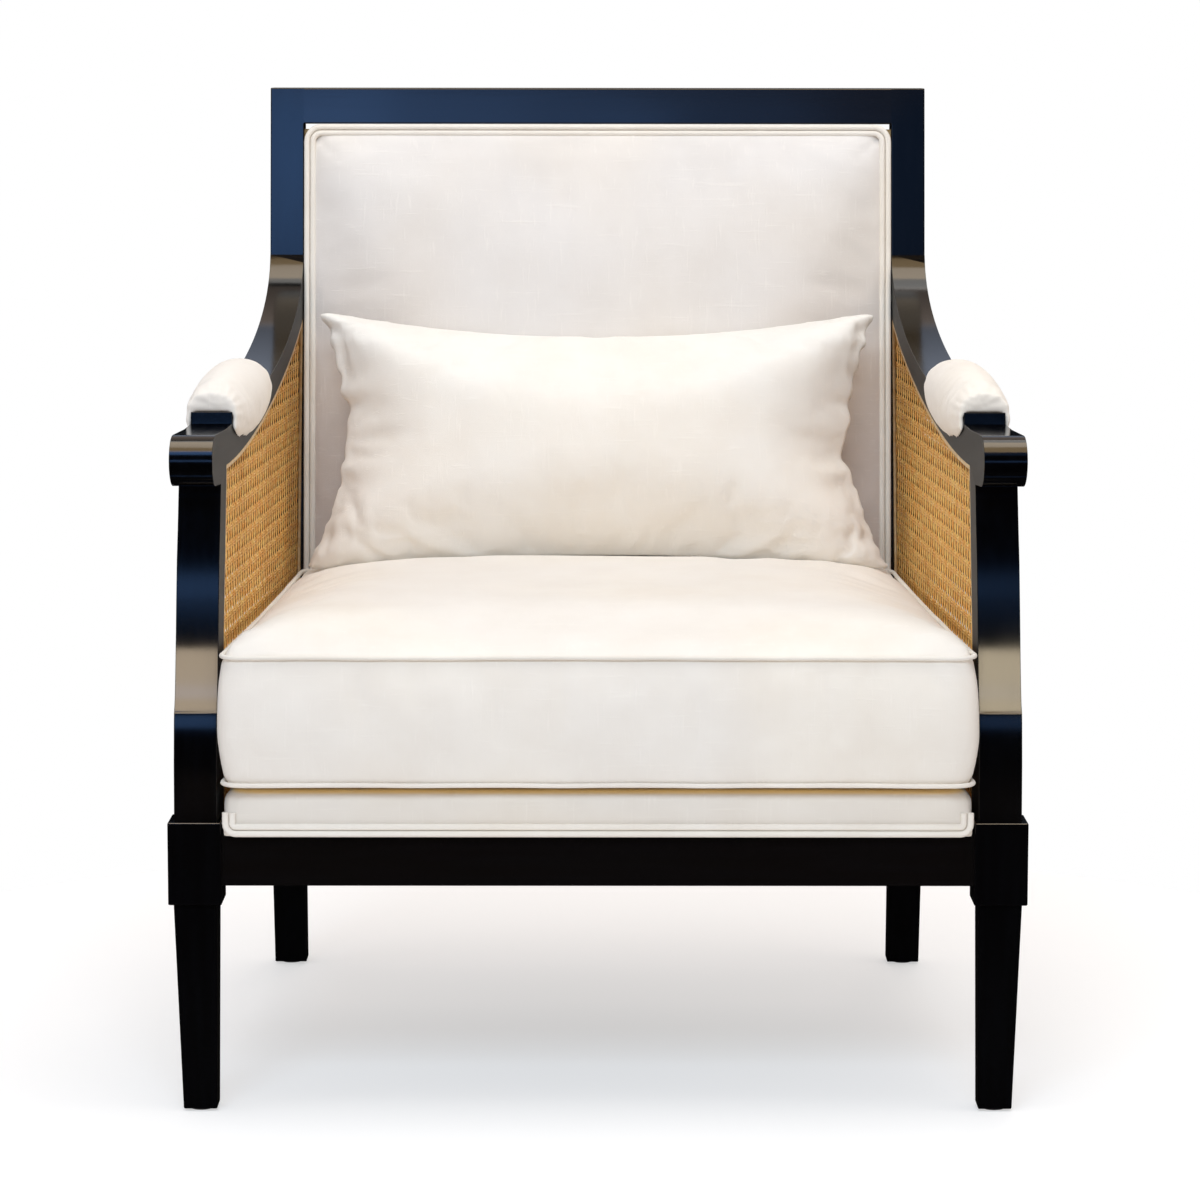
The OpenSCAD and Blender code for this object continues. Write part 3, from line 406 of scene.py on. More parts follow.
# Show wood: copies of the lacquered nodes with eased edges, but sharp where two boards butt flush
wood = {"ease": 0.0016, "steps": 3, "near": 0.0008, "topRail": 0.8635, "cuts": (0.8645, 0.668, 0.732, 0.262, 0.205)}


def easedWood(node, finish, keepSharp=lambda p: False, cuts=(), ease=None):
    work = nodeCopy(node, 1e-6, 0.6)
    for point, normal in cuts:
        bmesh.ops.bisect_plane(work, geom=work.verts[:] + work.edges[:] + work.faces[:], dist=1e-6, plane_co=point,
            plane_no=normal)
    edges = []
    for edge in work.edges:
        if len(edge.link_faces) != 2 or not edge.is_convex or edge.calc_face_angle(0) < math.radians(24):
            continue
        if edge.calc_length() < 0.003 or keepSharp((edge.verts[0].co + edge.verts[1].co) / 2):
            continue
        edges.append(edge)
    bmesh.ops.bevel(work, geom=edges, offset=ease or wood["ease"], offset_type="OFFSET", affect="EDGES",
        segments=wood["steps"], profile=0.5, material=-1, clamp_overlap=True)
    piece = asPiece(node + "_wood", work, finish, replaces=[node])
    piece.data.set_sharp_from_angle(angle=math.radians(34))
    addModifier(piece, "flat faces", "WEIGHTED_NORMAL", keep_sharp=True)
    return piece


print("show wood")
postFace = atDepth(chair["postDepth"])
legRear = atDepth(0.046)


def faceAt(z):
    return postFace + max(0.0, z - chair["frameTop"]) * math.tan(chair["recline"])


def isNear(value, place):
    return abs(value - place) < wood["near"]


def stileSharp(p):
    atRail = p.z > wood["topRail"] and isNear(abs(p.x), chair["postIn"])
    atArm = 0.667 < p.z < 0.733 and isNear(p.y, faceAt(p.z))
    atSeat = 0.204 < p.z < 0.263 and p.y < faceAt(p.z) + wood["near"]
    return atRail or atArm or atSeat


def overArmPost(p):
    return -0.30 < p.y < -0.2


for side in ("left", "right"):
    easedWood(side + "_back_post", "postLacquer", stileSharp, [((0, 0, z), (0, 0, 1)) for z in wood["cuts"]])
    easedWood(side + "_front_leg", "postLacquer", ease=0.0014)
    easedWood(side + "_seat_rail", "armLacquer", lambda p: isNear(p.y, postFace) or isNear(p.y, legRear))
    easedWood(side + "_arm_post", "postLacquer", lambda p: p.z < 0.2628 or p.z > 0.5555 and overArmPost(p))
    easedWood(side + "_arm", "armLacquer",
        lambda p: p.y > faceAt(p.z) - 0.001 and p.z > 0.66 or p.z < 0.5712 and overArmPost(p))
for node, half in (("top_rail", "postIn"), ("front_seat_rail", "blockIn"), ("rear_seat_rail", "postIn"),
        ("lower_back_rail", "postIn")):
    easedWood(node, "railLacquer", lambda p, half=half: isNear(abs(p.x), chair[half]))


# Cane: every strand is woven, with pairs up and across and single strands on both diagonals
cane = {"pitch": 0.0159, "pair": 0.00255, "lift": 0.0003, "over": 0.0005,
    "inner": {"sheet": "_cane_panel", "spline": "_cane_spline", "middle": 0.3413, "taper": 0.05644, "shift": (0, 0),
        "straight": 0.0019, "slant": 0.0021, "thick": 0.00075},
    "outer": {"sheet": "_outer_cane", "spline": "_outer_spline", "middle": 0.3687, "taper": 0.06246,
        "shift": (0.004, 0.00795), "straight": 0.0021, "slant": 0.0024, "thick": 0.0015}}


def flatStrip(name, width, thick):
    data = bpy.data.curves.new(name, "CURVE")
    data.dimensions = "2D"
    line = data.splines.new("POLY")
    line.points.add(3)
    for point, (x, y) in zip(line.points, [(-0.5, 0), (0, -0.5), (0.5, 0), (0, 0.5)]):
        point.co = (x * width, y * thick, 0, 1)
    line.use_cyclic_u = True
    return placed(name, data)


def spans(outline, point, way):
    # Where the line from point along way is inside the outline
    hits = []
    normal = Vector((-way.y, way.x))
    for a, b in zip(outline, outline[1:] + outline[:1]):
        ha, hb = (a - point).dot(normal), (b - point).dot(normal)
        if (ha < 0) != (hb < 0):
            hits.append((a + (b - a) * (ha / (ha - hb)) - point).dot(way))
    hits.sort()
    return [(hits[i], hits[i + 1]) for i in range(0, len(hits) - 1, 2) if hits[i + 1] - hits[i] > 0.004]


def outerLoop(work, inner):
    # The longest edge loop round the faces of one side of a thin sheet
    rim = [e for e in work.edges if sum(f in inner for f in e.link_faces) == 1]
    nexts = {}
    for edge in rim:
        for v in edge.verts:
            nexts.setdefault(v, []).append(edge)
    loops, used = [], set()
    for edge in rim:
        if edge in used:
            continue
        loop, v = [], edge.verts[0]
        while edge not in used:
            used.add(edge)
            loop.append(v.co.copy())
            v = edge.other_vert(v)
            edge = next((e for e in nexts[v] if e not in used), edge)
        loops.append(loop)
    return max(loops, key=lambda loop: max(p.z for p in loop) - min(p.z for p in loop))


def caneSheet(side, layer):
    sign = -1 if side == "left" else 1
    layout = cane[layer]
    node, splineNode = side + layout["sheet"], side + layout["spline"]
    work = nodeCopy(node)
    along = Vector((-sign * layout["taper"], 1, 0)).normalized()
    out = Vector((along.y * sign, -along.x * sign, 0))
    start = Vector((sign * layout["middle"], atDepth(0), 0))
    loop = outerLoop(work, {f for f in work.faces if f.normal.x * sign < -0.5})
    shift = Vector(layout["shift"])
    outline = [Vector(((p - start).dot(along), p.z)) - shift for p in loop]
    work.free()
    lows = [min(p[i] for p in outline) for i in range(2)]
    highs = [max(p[i] for p in outline) for i in range(2)]
    pitch, pi = cane["pitch"], math.pi
    pieces = []

    def weave(name, width, lines):
        data = bpy.data.curves.new(name, "CURVE")
        data.dimensions, data.twist_mode = "3D", "Z_UP"
        for origin, way, step, height in lines:
            for a, b in spans(outline, origin, way):
                count = max(2, math.ceil((b - a) / step) + 1)
                line = data.splines.new("POLY")
                line.points.add(count - 1)
                for i, point in enumerate(line.points):
                    p = origin + way * (a + (b - a) * i / (count - 1))
                    point.co = (p.x, p.y, height(p), 1)
        strip = flatStrip(name + "_strip", width, layout["thick"])
        data.bevel_mode, data.bevel_object, data.use_fill_caps = "OBJECT", strip, True
        pieces.append(takenMesh(placed(name, data)))
        bpy.data.objects.remove(strip)

    upright, level, slants = [], [], []
    for i in range(int(lows[0] / pitch) - 1, int(highs[0] / pitch) + 2):
        for s in (-0.5, 0.5):
            upright.append((Vector((i * pitch + s * cane["pair"], 0)), Vector((0, 1)), pitch / 3,
                lambda p, i=i: -cane["lift"] * (-1) ** i * math.cos(pi * p.y / pitch)))
    for j in range(int(lows[1] / pitch) - 1, int(highs[1] / pitch) + 2):
        for s in (-0.5, 0.5):
            level.append((Vector((0, j * pitch + s * cane["pair"])), Vector((1, 0)), pitch / 3,
                lambda p, j=j: cane["lift"] * (-1) ** j * math.cos(pi * p.x / pitch)))
    reach = highs[0] + highs[1]
    for k in range(int(-reach / pitch), int(reach / pitch) + 2):
        for way, over in ((Vector((1, -1)), 1), (Vector((1, 1)), -1)):
            slants.append((Vector((0, (k + 0.5) * pitch)), way.normalized(), pitch / 4.2,
                lambda p, over=over: over * cane["over"] * math.cos(2 * pi * p.x / pitch)))
    weave("uprights", layout["straight"], upright + level)
    weave("slants", layout["slant"], slants)
    sheet = bmesh.new()
    for mesh in pieces:
        sheet.from_mesh(mesh)
        bpy.data.meshes.remove(mesh)
    turn = Matrix((along, (0, 0, 1), out)).transposed().to_4x4()
    bmesh.ops.transform(sheet, matrix=Matrix.Translation(start + along * shift.x + Vector((0, 0, shift.y))) @ turn,
        verts=sheet.verts)
    bmesh.ops.recalc_face_normals(sheet, faces=sheet.faces)
    made = asPiece(side + "_" + layer + "_weave", sheet, "cane", replaces=[node])
    if layer == "outer":  # painted shade: the faces of these strands that face in are dark brown, for the shade between the two sheets
        made.data.materials.append(finishes["canePaintedShade"])
        for face in made.data.polygons:
            face.material_index = int(face.normal.dot(out) < -0.2)
    print(side, layer, "cane", len(made.data.polygons), "faces")
    spline = nodeCopy(splineNode, 1e-6, 0.5)
    edges = [e for e in spline.edges if len(e.link_faces) == 2 and e.is_convex and e.calc_face_angle(0) > 0.6]
    bmesh.ops.bevel(spline, geom=edges, offset=0.0011, offset_type="OFFSET", affect="EDGES", segments=3, profile=0.5,
        material=-1, clamp_overlap=True)
    asPiece(side + "_" + layer + "_spline_cord", spline, "spline", replaces=[splineNode])


print("cane")
for side in ("left", "right"):
    for layer in ("inner", "outer"):
        caneSheet(side, layer)


# Stuffed pieces: a remeshed copy of the solid is blown up a little, held where its seams are
def remeshed(name, source, voxel, shrink=0.0):
    mesh = bpy.data.meshes.new(name)
    source.to_mesh(mesh)
    source.free()
    piece = placed(name, mesh)
    if shrink:
        addModifier(piece, "smaller", "DISPLACE", strength=-shrink, mid_level=0.0)
        applied(piece)
    addModifier(piece, "remesh", "REMESH", mode="VOXEL", voxel_size=voxel)
    return applied(piece)


def blown(piece, cap, held, pressure=4.0, slack=0.0, frames=20):
    # held(p) is 1 where the cloth is stitched down and 0 where it is free
    before = [v.co.copy() for v in piece.data.vertices]
    group = piece.vertex_groups.new(name="held")
    for i, p in enumerate(before):
        group.add([i], held(p), "REPLACE")
    cloth = piece.modifiers.new("cloth", "CLOTH")
    s = cloth.settings
    s.quality, s.mass, s.use_pressure, s.uniform_pressure_force = 5, 0.3, True, pressure
    s.vertex_group_mass, s.pin_stiffness = "held", 1.0
    s.tension_stiffness = s.compression_stiffness = 12
    s.bending_stiffness, s.shrink_min = 0.6, slack
    s.effector_weights.gravity = 0
    cloth.point_cache.frame_start, cloth.point_cache.frame_end = 1, frames
    for f in range(1, frames + 1):
        scene.frame_set(f)
    applied(piece)
    scene.frame_set(1)
    for v, p in zip(piece.data.vertices, before):
        move = v.co - p
        far = move.length
        if far > 1e-9:
            v.co = p + move * (cap * math.tanh(far / cap) / far)
    return piece


def stuffed(name, piece, finish, body, replaces, shape=None, relax=0, levels=1):
    work = bmesh.new()
    work.from_mesh(piece.data)
    bpy.data.objects.remove(piece)
    for _ in range(relax):
        bmesh.ops.smooth_vert(work, verts=work.verts, factor=0.5, use_axis_x=True, use_axis_y=True, use_axis_z=True)
    if shape:
        work.normal_update()
        moves = [(v, shape(v.co.copy(), v.normal.copy())) for v in work.verts]
        for v, to in moves:
            v.co = to
    made = asPiece(name, work, finish, body, replaces)
    if levels:
        addModifier(made, "soft", "SUBSURF", levels=levels, render_levels=levels)
    return made


def cordRing(name, points, radius, finish, body, replaces=(), closed=True, sides=3):
    data = bpy.data.curves.new(name, "CURVE")
    data.dimensions, data.bevel_depth, data.bevel_resolution, data.use_fill_caps = "3D", radius, sides, True
    line = data.splines.new("POLY")
    line.points.add(len(points) - 1)
    for point, p in zip(line.points, points):
        point.co = (*p, 1)
    line.use_cyclic_u = closed
    work = bmesh.new()
    mesh = takenMesh(placed(name + "_line", data))
    work.from_mesh(mesh)
    bpy.data.meshes.remove(mesh)
    bmesh.ops.recalc_face_normals(work, faces=work.faces)
    return asPiece(name, work, finish, body, replaces)


# Seat cushion: pinned at its two seams, crowned between them
cushion = {"low": 0.2915, "high": 0.119, "rise": 0.006, "front": -0.012, "back": 0.592, "gap": 0.002, "seamIn": 0.0045,
    "voxel": 0.006, "cap": 0.007, "piping": 0.0021}


def cushionSeam(z, inset=0.0, corner=0.02, steps=8):
    # The seam's line at height z above the cushion's underside, going round from the front right
    front, back = cushion["front"] + inset, cushion["back"] - inset
    points = []
    corners = [(1, front, -1), (1, back, 1), (-1, back, 1), (-1, front, -1)]
    for k, (sx, d, sy) in enumerate(corners):
        for i in range(steps + 1):
            a = math.pi / 2 * i / steps
            u, v = (math.sin(a), math.cos(a)) if k in (0, 2) else (math.cos(a), math.sin(a))
            dd = d - sy * corner * (1 - v)
            x = sideInner(max(0, dd)) - cushion["gap"] - cushion["seamIn"] - inset
            points.append(((x - corner * (1 - u)) * sx, dd))
    line = []
    for (x0, d0), (x1, d1) in zip(points, points[1:] + points[:1]):
        parts = max(1, int(math.hypot(x1 - x0, d1 - d0) / 0.012))
        for i in range(parts):
            x, d = x0 + (x1 - x0) * i / parts, d0 + (d1 - d0) * i / parts
            t = (d - cushion["front"]) / (cushion["back"] - cushion["front"])
            half = sideInner(max(0, d))
            drawX = 0.003 * max(0.0, 1 - (2 * t - 1) ** 2) * smoothStep(0.75, 1.0, abs(x) / half)
            drawY = 0.003 * max(0.0, 1 - (x / half) ** 2) * (2 * t - 1) * smoothStep(0.8, 1.0, abs(2 * t - 1))
            wobble = uneven(x * 16, d * 16, z * 10) * 0.0007
            line.append(Vector((x - math.copysign(drawX, x), atDepth(d) - drawY,
                cushion["low"] + z + cushion["rise"] * t * z / cushion["high"] + wobble)))
    return line


def makeCushion():
    low, high = cushion["low"], cushion["low"] + cushion["high"]

    def rise(p):
        return cushion["rise"] * (p.y + chair["middle"]) / 0.6

    def held(p):
        seam = abs(p.z - high - rise(p)) < 0.004 or abs(p.z - low - 0.006) < 0.004 or p.z < low + 0.003
        return 1.0 if seam else 0.0

    def shape(p, n):
        d = p.y + chair["middle"]
        edge = min(sideInner(max(0, d)) - abs(p.x), d - cushion["front"], cushion["back"] - d)
        if n.z > 0.4:
            corner = math.hypot(sideInner(0) - abs(p.x), d - cushion["front"])
            ripple = uneven(p.x * 7, d * 9, 1.3) * 0.0016 * smoothStep(0.0, 0.05, edge)
            ripple += math.sin(corner * 170 + 3 * noise.noise(p * 9)) * 0.0008 * smoothStep(0.13, 0.03, corner)
            p = p + n * ripple
        elif abs(n.z) < 0.4:
            hang = uneven(p.x * 11 + d * 11, 4.1, p.z * 16)
            p = p + n * hang * 0.0012 * smoothStep(0, 0.02, min(p.z - low, high - p.z))
        return Vector((p.x, p.y, max(p.z, low + 0.0002)))

    work = nodeCopy("seat_cushion")
    piece = blown(remeshed("cushion_form", work, cushion["voxel"], 0.0012), cushion["cap"], held, 3.0, -0.012)
    stuffed("seat_cushion_cover", piece, "linen", "cushion", ["seat_cushion"], shape, 2)
    for name, z in (("top", cushion["high"]), ("bottom", 0.006)):
        cordRing("seat_cushion_" + name + "_seam", cushionSeam(z, -0.0008), cushion["piping"], "piping",
            "cushion")


print("seat cushion")
makeCushion()


# Lumbar pillow: knife edged, drawn in between its corners, with folds running in from the ends
pillow = {"width": 0.582, "height": 0.268, "thick": 0.128, "lean": math.radians(11.8), "ahead": 0.0545, "base": 0.4185,
    "sideIn": 0.036, "topIn": 0.028, "lowIn": 0.022, "voxel": 0.005, "cap": 0.010, "settle": 0.006, "blunt": 0.014,
    "tucks": {-1: [(0.027, 0.006, 0.014)], 1: [(-0.015, 0.010, 0.018), (0.045, 0.003, 0.008)]}}
pillowFrame = Matrix.Translation((0, atDepth(chair["postDepth"] - pillow["ahead"]),
    pillow["base"] + pillow["height"] / 2)) @ Matrix.Rotation(-pillow["lean"], 4, "X")


def makePillow():
    back = pillowFrame.inverted()
    wide, tall = pillow["width"] / 2, pillow["height"] / 2

    def edgeShare(q):
        u, v = q.x / wide, q.z / tall
        side = (wide - pillow["sideIn"] * max(0, 1 - v * v)) / wide
        top = (tall - (pillow["topIn"] if v > 0 else pillow["lowIn"]) * max(0, 1 - u * u)) / tall
        return max(abs(u) / side, abs(v) / top)

    def held(p):
        return 1.0 if edgeShare(back @ p) > 0.975 else 0.0

    def shape(p, n):
        q = back @ p
        share = edgeShare(q)
        near = smoothStep(0.35, 0.95, share) * (1 - smoothStep(0.97, 1.02, share))
        fold = 0.0
        for cx, cz, strength in ((-wide, tall, 1.0), (wide, tall, 0.8), (-wide, -tall, 0.9), (wide, -tall, 0.6)):
            away = Vector((q.x - cx, q.z - cz))
            angle = math.atan2(away.y, away.x)
            reach = smoothStep(0.24, 0.03, away.length)
            fold += strength * reach * math.sin(angle * 9 + 2.2 * uneven(cx, cz, away.length * 9))
        gather = 0.0
        if abs(q.x) > wide * 0.62:
            fade = smoothStep(wide * 0.62, wide * 0.95, abs(q.x))
            gather = fade * math.sin(q.z * 150 + 2.5 * uneven(q.x * 6, q.z * 14, 7.7))
        soft = uneven(q.x * 6, q.z * 8, 2.0 if n.y < 0 else 5.0)
        front = 1.0 if n.y < 0 else 0.35
        lift = front * near * (fold * 0.0021 + gather * 0.0017) + soft * 0.0022 * (1 - smoothStep(0.8, 1, share))
        settle = pillow["settle"] * smoothStep(-0.3 * tall, -tall, q.z) * max(0, 1 - (q.x / wide) ** 2)
        moved = back @ (p + n * min(lift, 0.004))
        side = -1 if q.x < 0 else 1
        tuck = sum(deep * math.exp(-((q.z - z) / reach) ** 2) for z, deep, reach in pillow["tucks"][side])
        tuck += 0.0013 * math.sin(q.z * 240 + 3 * uneven(side, q.z * 20, 3.1))
        moved.x -= side * tuck * smoothStep(0.68, 0.93, abs(q.x) / wide)
        blunt = pillow["blunt"]
        corner = Vector((abs(moved.x) - wide + blunt, abs(moved.z) - tall + blunt))
        if corner.x > 0 and corner.y > 0 and corner.length > blunt:
            corner *= blunt / corner.length
            moved.x = side * (wide - blunt + corner.x)
            moved.z = math.copysign(tall - blunt + corner.y, moved.z)
        return pillowFrame @ moved - Vector((0, 0, settle))

    work = nodeCopy("lumbar_pillow")
    piece = blown(remeshed("pillow_form", work, pillow["voxel"], 0.001), pillow["cap"], held, 3.5, -0.03)
    stuffed("lumbar_pillow_cover", piece, "pillowLinen", "pillow", ["lumbar_pillow"], shape, 1)


print("lumbar pillow")
makePillow()


# Padded back: crowned panel, then a double welt round it with mitred top corners
back = {"voxel": 0.006, "cap": 0.005, "cord": 0.003, "corner": 0.018}


def roundedRoute(halfWide, low, high, radius, y, steps=7):
    points = []
    corners = [(1, high, 0), (-1, high, 90), (-1, low, 180), (1, low, 270)]
    for sx, z, start in corners:
        cx = sx * (halfWide - radius)
        cz = z - radius if z == high else z + radius
        for i in range(steps + 1):
            a = math.radians(start + 90 * i / steps)
            points.append((cx + radius * math.cos(a), y, cz + radius * math.sin(a)))
    line = []
    for a, b in zip(points, points[1:] + points[:1]):
        a, b = Vector(a), Vector(b)
        parts = max(1, int((b - a).length / 0.02))
        line += [a + (b - a) * i / parts for i in range(parts)]
    return line


def makeBack():
    away = backFrame.inverted()
    half, low, high = chair["postIn"], chair["openLow"], chair["openHigh"]

    def held(p):
        q = away @ p
        rim = min(half - abs(q.x), q.z - low, high - q.z)
        return 1.0 if rim < 0.016 or q.y > 0.001 else 0.0

    def shape(p, n):
        q = away @ p
        rim = min(half - abs(q.x), q.z - low, high - q.z)
        if n.y > -0.3:
            return p
        inside = smoothStep(0.014, 0.08, rim)
        drape = uneven(q.x * 5, q.z * 2.2, 3.0) * 0.0022 * inside
        puckerSide = math.sin(q.z * 62 + 3 * uneven(q.z * 8, 0.3, 0)) * smoothStep(0.06, 0.018, half - abs(q.x))
        puckerTop = math.sin(q.x * 58 + 3 * uneven(q.x * 8, 2.3, 0)) * smoothStep(0.05, 0.018, high - q.z)
        corner = math.hypot(half - abs(q.x), high - q.z)
        pleat = -smoothStep(0.07, 0.02, corner) * smoothStep(0.0045, 0.0, abs((half - abs(q.x)) - (high - q.z)))
        return p + n * (drape + (puckerSide + puckerTop) * 0.0006 * smoothStep(0.012, 0.02, rim) + pleat * 0.003)

    work = nodeCopy("back_pad")
    piece = blown(remeshed("back_form", work, back["voxel"], 0.0006), back["cap"], held, 2.5, -0.006)
    stuffed("back_pad_cover", piece, "backLinenPaintedShade", "frame", ["back_pad"], shape, 2)
    for k in (0, 1):
        inset = 0.0003 + 0.0031 + k * 0.00615
        line = [backFrame @ p for p in
            roundedRoute(half - inset, low + inset, high - inset, back["corner"] - inset, -0.0012)]
        cordRing("back_welt_cord_%d" % (k + 1), line, back["cord"], "piping", "frame",
            ["back_welt"] if k == 0 else ())


print("padded back")
makeBack()


# Outside back: a thin panel with one cord round it
outside = {"face": 0.0265, "thick": 0.0025, "cord": 0.003}


def makeOutsideBack():
    work = nodeCopy("outside_back")
    work.transform(backFrame.inverted())
    zs = [v.co.z for v in work.verts]
    bmesh.ops.subdivide_edges(work, edges=[e for e in work.edges if e.calc_length() > 0.1], cuts=40, use_grid_fill=True)
    half, zLow, zHigh = chair["postIn"] - 0.0003, min(zs), max(zs)
    for v in work.verts:
        if v.co.y > outside["face"] + 0.001:
            rim = min(half - abs(v.co.x), v.co.z - zLow, zHigh - v.co.z)
            v.co.y += 0.0022 * smoothStep(0.0, 0.06, rim) + uneven(v.co.x * 4, v.co.z * 3, 9) * 0.0009
    work.transform(backFrame)
    bmesh.ops.recalc_face_normals(work, faces=work.faces)
    made = asPiece("outside_back_cover", work, "linen", replaces=["outside_back"])
    made.data.set_sharp_from_angle(angle=math.radians(50))
    line = [backFrame @ p for p in roundedRoute(half - 0.0031, zLow + 0.0031, zHigh - 0.0031, 0.015,
        outside["face"] + outside["thick"] + 0.003)]
    cordRing("outside_back_cord", line, outside["cord"], "piping", "frame", ["outside_back_welt"])


print("outside back")
makeOutsideBack()


# Deck: boxed pad on the seat frame, its cover lapped down the front rail and held by a double welt
deck = {"voxel": 0.005, "front": -0.001, "cord": 0.003, "corner": 0.012, "weltEnd": 0.022}


def makeDeck():
    top = chair["frameTop"] + 0.029

    def shape(p, n):
        if n.y < -0.5 and p.y < atDepth(0.02):
            p = p + n * (uneven(p.x * 9, 1.0, p.z * 20) * 0.0009 + 0.0006)
        if n.z > 0.5:
            p = p + n * uneven(p.x * 6, p.y * 6, 3.0) * 0.0006
            p.z = min(p.z, top + 0.0003)
        return p

    work = nodeCopy("seat_deck")
    piece = remeshed("deck_form", work, deck["voxel"])
    stuffed("seat_deck_cover", piece, "deckLinen", "frame", ["seat_deck"], shape, 1)
    half, low = chair["blockIn"] - 0.0012, 0.2500
    for k in (0, 1):
        inset = 0.0031 + k * 0.0061
        radius = deck["corner"] - inset
        x, z = half - inset, low + inset
        points = [Vector((-x, 0, low + deck["weltEnd"])), Vector((-x, 0, z + radius))]
        points += [Vector((-x + radius - radius * math.cos(a), 0, z + radius - radius * math.sin(a)))
            for a in [math.pi / 2 * i / 6 for i in range(1, 7)]]
        count = 40
        points += [Vector((-x + radius + (2 * (x - radius)) * i / count, 0, z)) for i in range(1, count)]
        points += [Vector((-p.x, 0, p.z)) for p in reversed(points[:8])]
        for p in points:
            p.y = atDepth(deck["front"]) - 0.0026 + uneven(p.x * 12, k, p.z * 12) * 0.0004
        cordRing("deck_welt_cord_%d" % (k + 1), points, deck["cord"], "piping", "frame",
            ["deck_welt"] if k == 0 else (), closed=False)


print("deck")
makeDeck()


# Arm pads: egg-shaped sleeves, gathered at both ends
pad = {"voxel": 0.0026, "cap": 0.004, "front": 0.132, "back": 0.383}


def makeArmPad(side):
    node = side + "_arm_pad"
    low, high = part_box(node)
    middle = (low + high) / 2

    def held(p):
        d = p.y + chair["middle"]
        return 1.0 if p.z < low.z + 0.012 or d < pad["front"] + 0.004 or d > pad["back"] - 0.004 else 0.0

    def shape(p, n):
        d = p.y + chair["middle"]
        end = min(d - pad["front"], pad["back"] - d)
        turn = math.atan2(p.z - middle.z, p.x - middle.x)
        pleat = math.sin(turn * 13 + 2 * uneven(turn * 2, d * 20, 0)) * smoothStep(0.045, 0.006, end)
        soft = uneven(p.x * 20, d * 12, p.z * 20)
        return p + n * (pleat * 0.0005 + soft * 0.0005) * smoothStep(-0.6, 0.0, n.z)

    work = nodeCopy(node)
    piece = blown(remeshed(side + "_pad_form", work, pad["voxel"]), pad["cap"], held, 2.0, -0.004)
    stuffed(side + "_arm_pad_cover", piece, "linen", "frame", [node], shape, 2)


print("arm pads")
for side in ("left", "right"):
    makeArmPad(side)


# Hidden cloth: jute webbing, the canvas over the springs, the dust cover and the cushion's zip
webbing = {"wide": 0.050, "half": 0.299, "face": 0.0098, "lift": 0.0008, "steps": 60}


def strap(work, start, end, across, over):
    # A strap from start to end in the back's own frame, rippling over and under those that it crosses
    way = end - start
    made = bmesh.ops.create_grid(work, x_segments=webbing["steps"], y_segments=3, size=0.5)
    for v in made["verts"]:
        t, u = v.co.x + 0.5, v.co.y
        v.co = start + way * t + across * (u * webbing["wide"]) + Vector((0, webbing["lift"] * over(t), 0))


def makeWebbing():
    work = bmesh.new()
    low, high = chair["openLow"] + 0.002, chair["openHigh"] - 0.006
    rows = [chair["openLow"] + (chair["openHigh"] - chair["openLow"]) * (0.2 + 0.2 * k) for k in range(4)]
    columns = [chair["postIn"] * 0.55 * i for i in (-1, 0, 1)]
    half, face = webbing["half"], webbing["face"]

    def crossing(sign, number, start, end, places):
        # How far the strap is pushed over (1) or under (-1) at each place where it crosses another
        return lambda t: sum(sign * (-1) ** (number + k) * smoothStep(0.05, 0.03, abs(start + (end - start) * t - at))
            for k, at in enumerate(places))

    for c, x in enumerate(columns):
        strap(work, Vector((x, face, low)), Vector((x, face, high)), Vector((1, 0, 0)), crossing(1, c, low, high, rows))
    for r, z in enumerate(rows):
        strap(work, Vector((-half, face, z)), Vector((half, face, z)), Vector((0, 0, 1)),
            crossing(-1, r, -half, half, columns))
    bmesh.ops.solidify(work, geom=work.faces[:], thickness=0.0006)
    bmesh.ops.transform(work, matrix=backFrame, verts=work.verts)
    bmesh.ops.recalc_face_normals(work, faces=work.faces)
    made = asPiece("back_webbing_straps", work, "jute", replaces=["back_webbing"])


def clothSheet(node, name, finish, height, cells, sag):
    work = nodeCopy(node, 1e-6, 0.5)
    face = max(work.faces, key=lambda f: f.calc_area() * (1 if f.normal.z > 0.5 else 0))
    bmesh.ops.delete(work, geom=[f for f in work.faces if f is not face], context="FACES_ONLY")
    loose = [v for v in work.verts if not v.link_faces]
    bmesh.ops.delete(work, geom=loose, context="VERTS")
    low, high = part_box(node)
    for axis in (0, 1):
        for i in range(1, cells):
            at = Vector((0, 0, 0))
            at[axis] = low[axis] + (high[axis] - low[axis]) * i / cells
            way = Vector((1, 0, 0)) if axis == 0 else Vector((0, 1, 0))
            bmesh.ops.bisect_plane(work, geom=work.verts[:] + work.edges[:] + work.faces[:], dist=1e-6,
                plane_co=at, plane_no=way)
    rim = {v for e in work.edges if e.is_boundary for v in e.verts}
    for v in work.verts:
        v.co.z = height
        if v not in rim:
            v.co.z += sag(v.co)
    area = sum(f.calc_area() for f in work.faces)
    bmesh.ops.solidify(work, geom=work.faces[:], thickness=0.0004)
    bmesh.ops.recalc_face_normals(work, faces=work.faces)
    made = asPiece(name, work, finish, replaces=[node])


zipper = {"teeth": 160, "tooth": (0.0014, 0.0007, 0.0034), "tape": 0.0118, "apart": 0.0068}


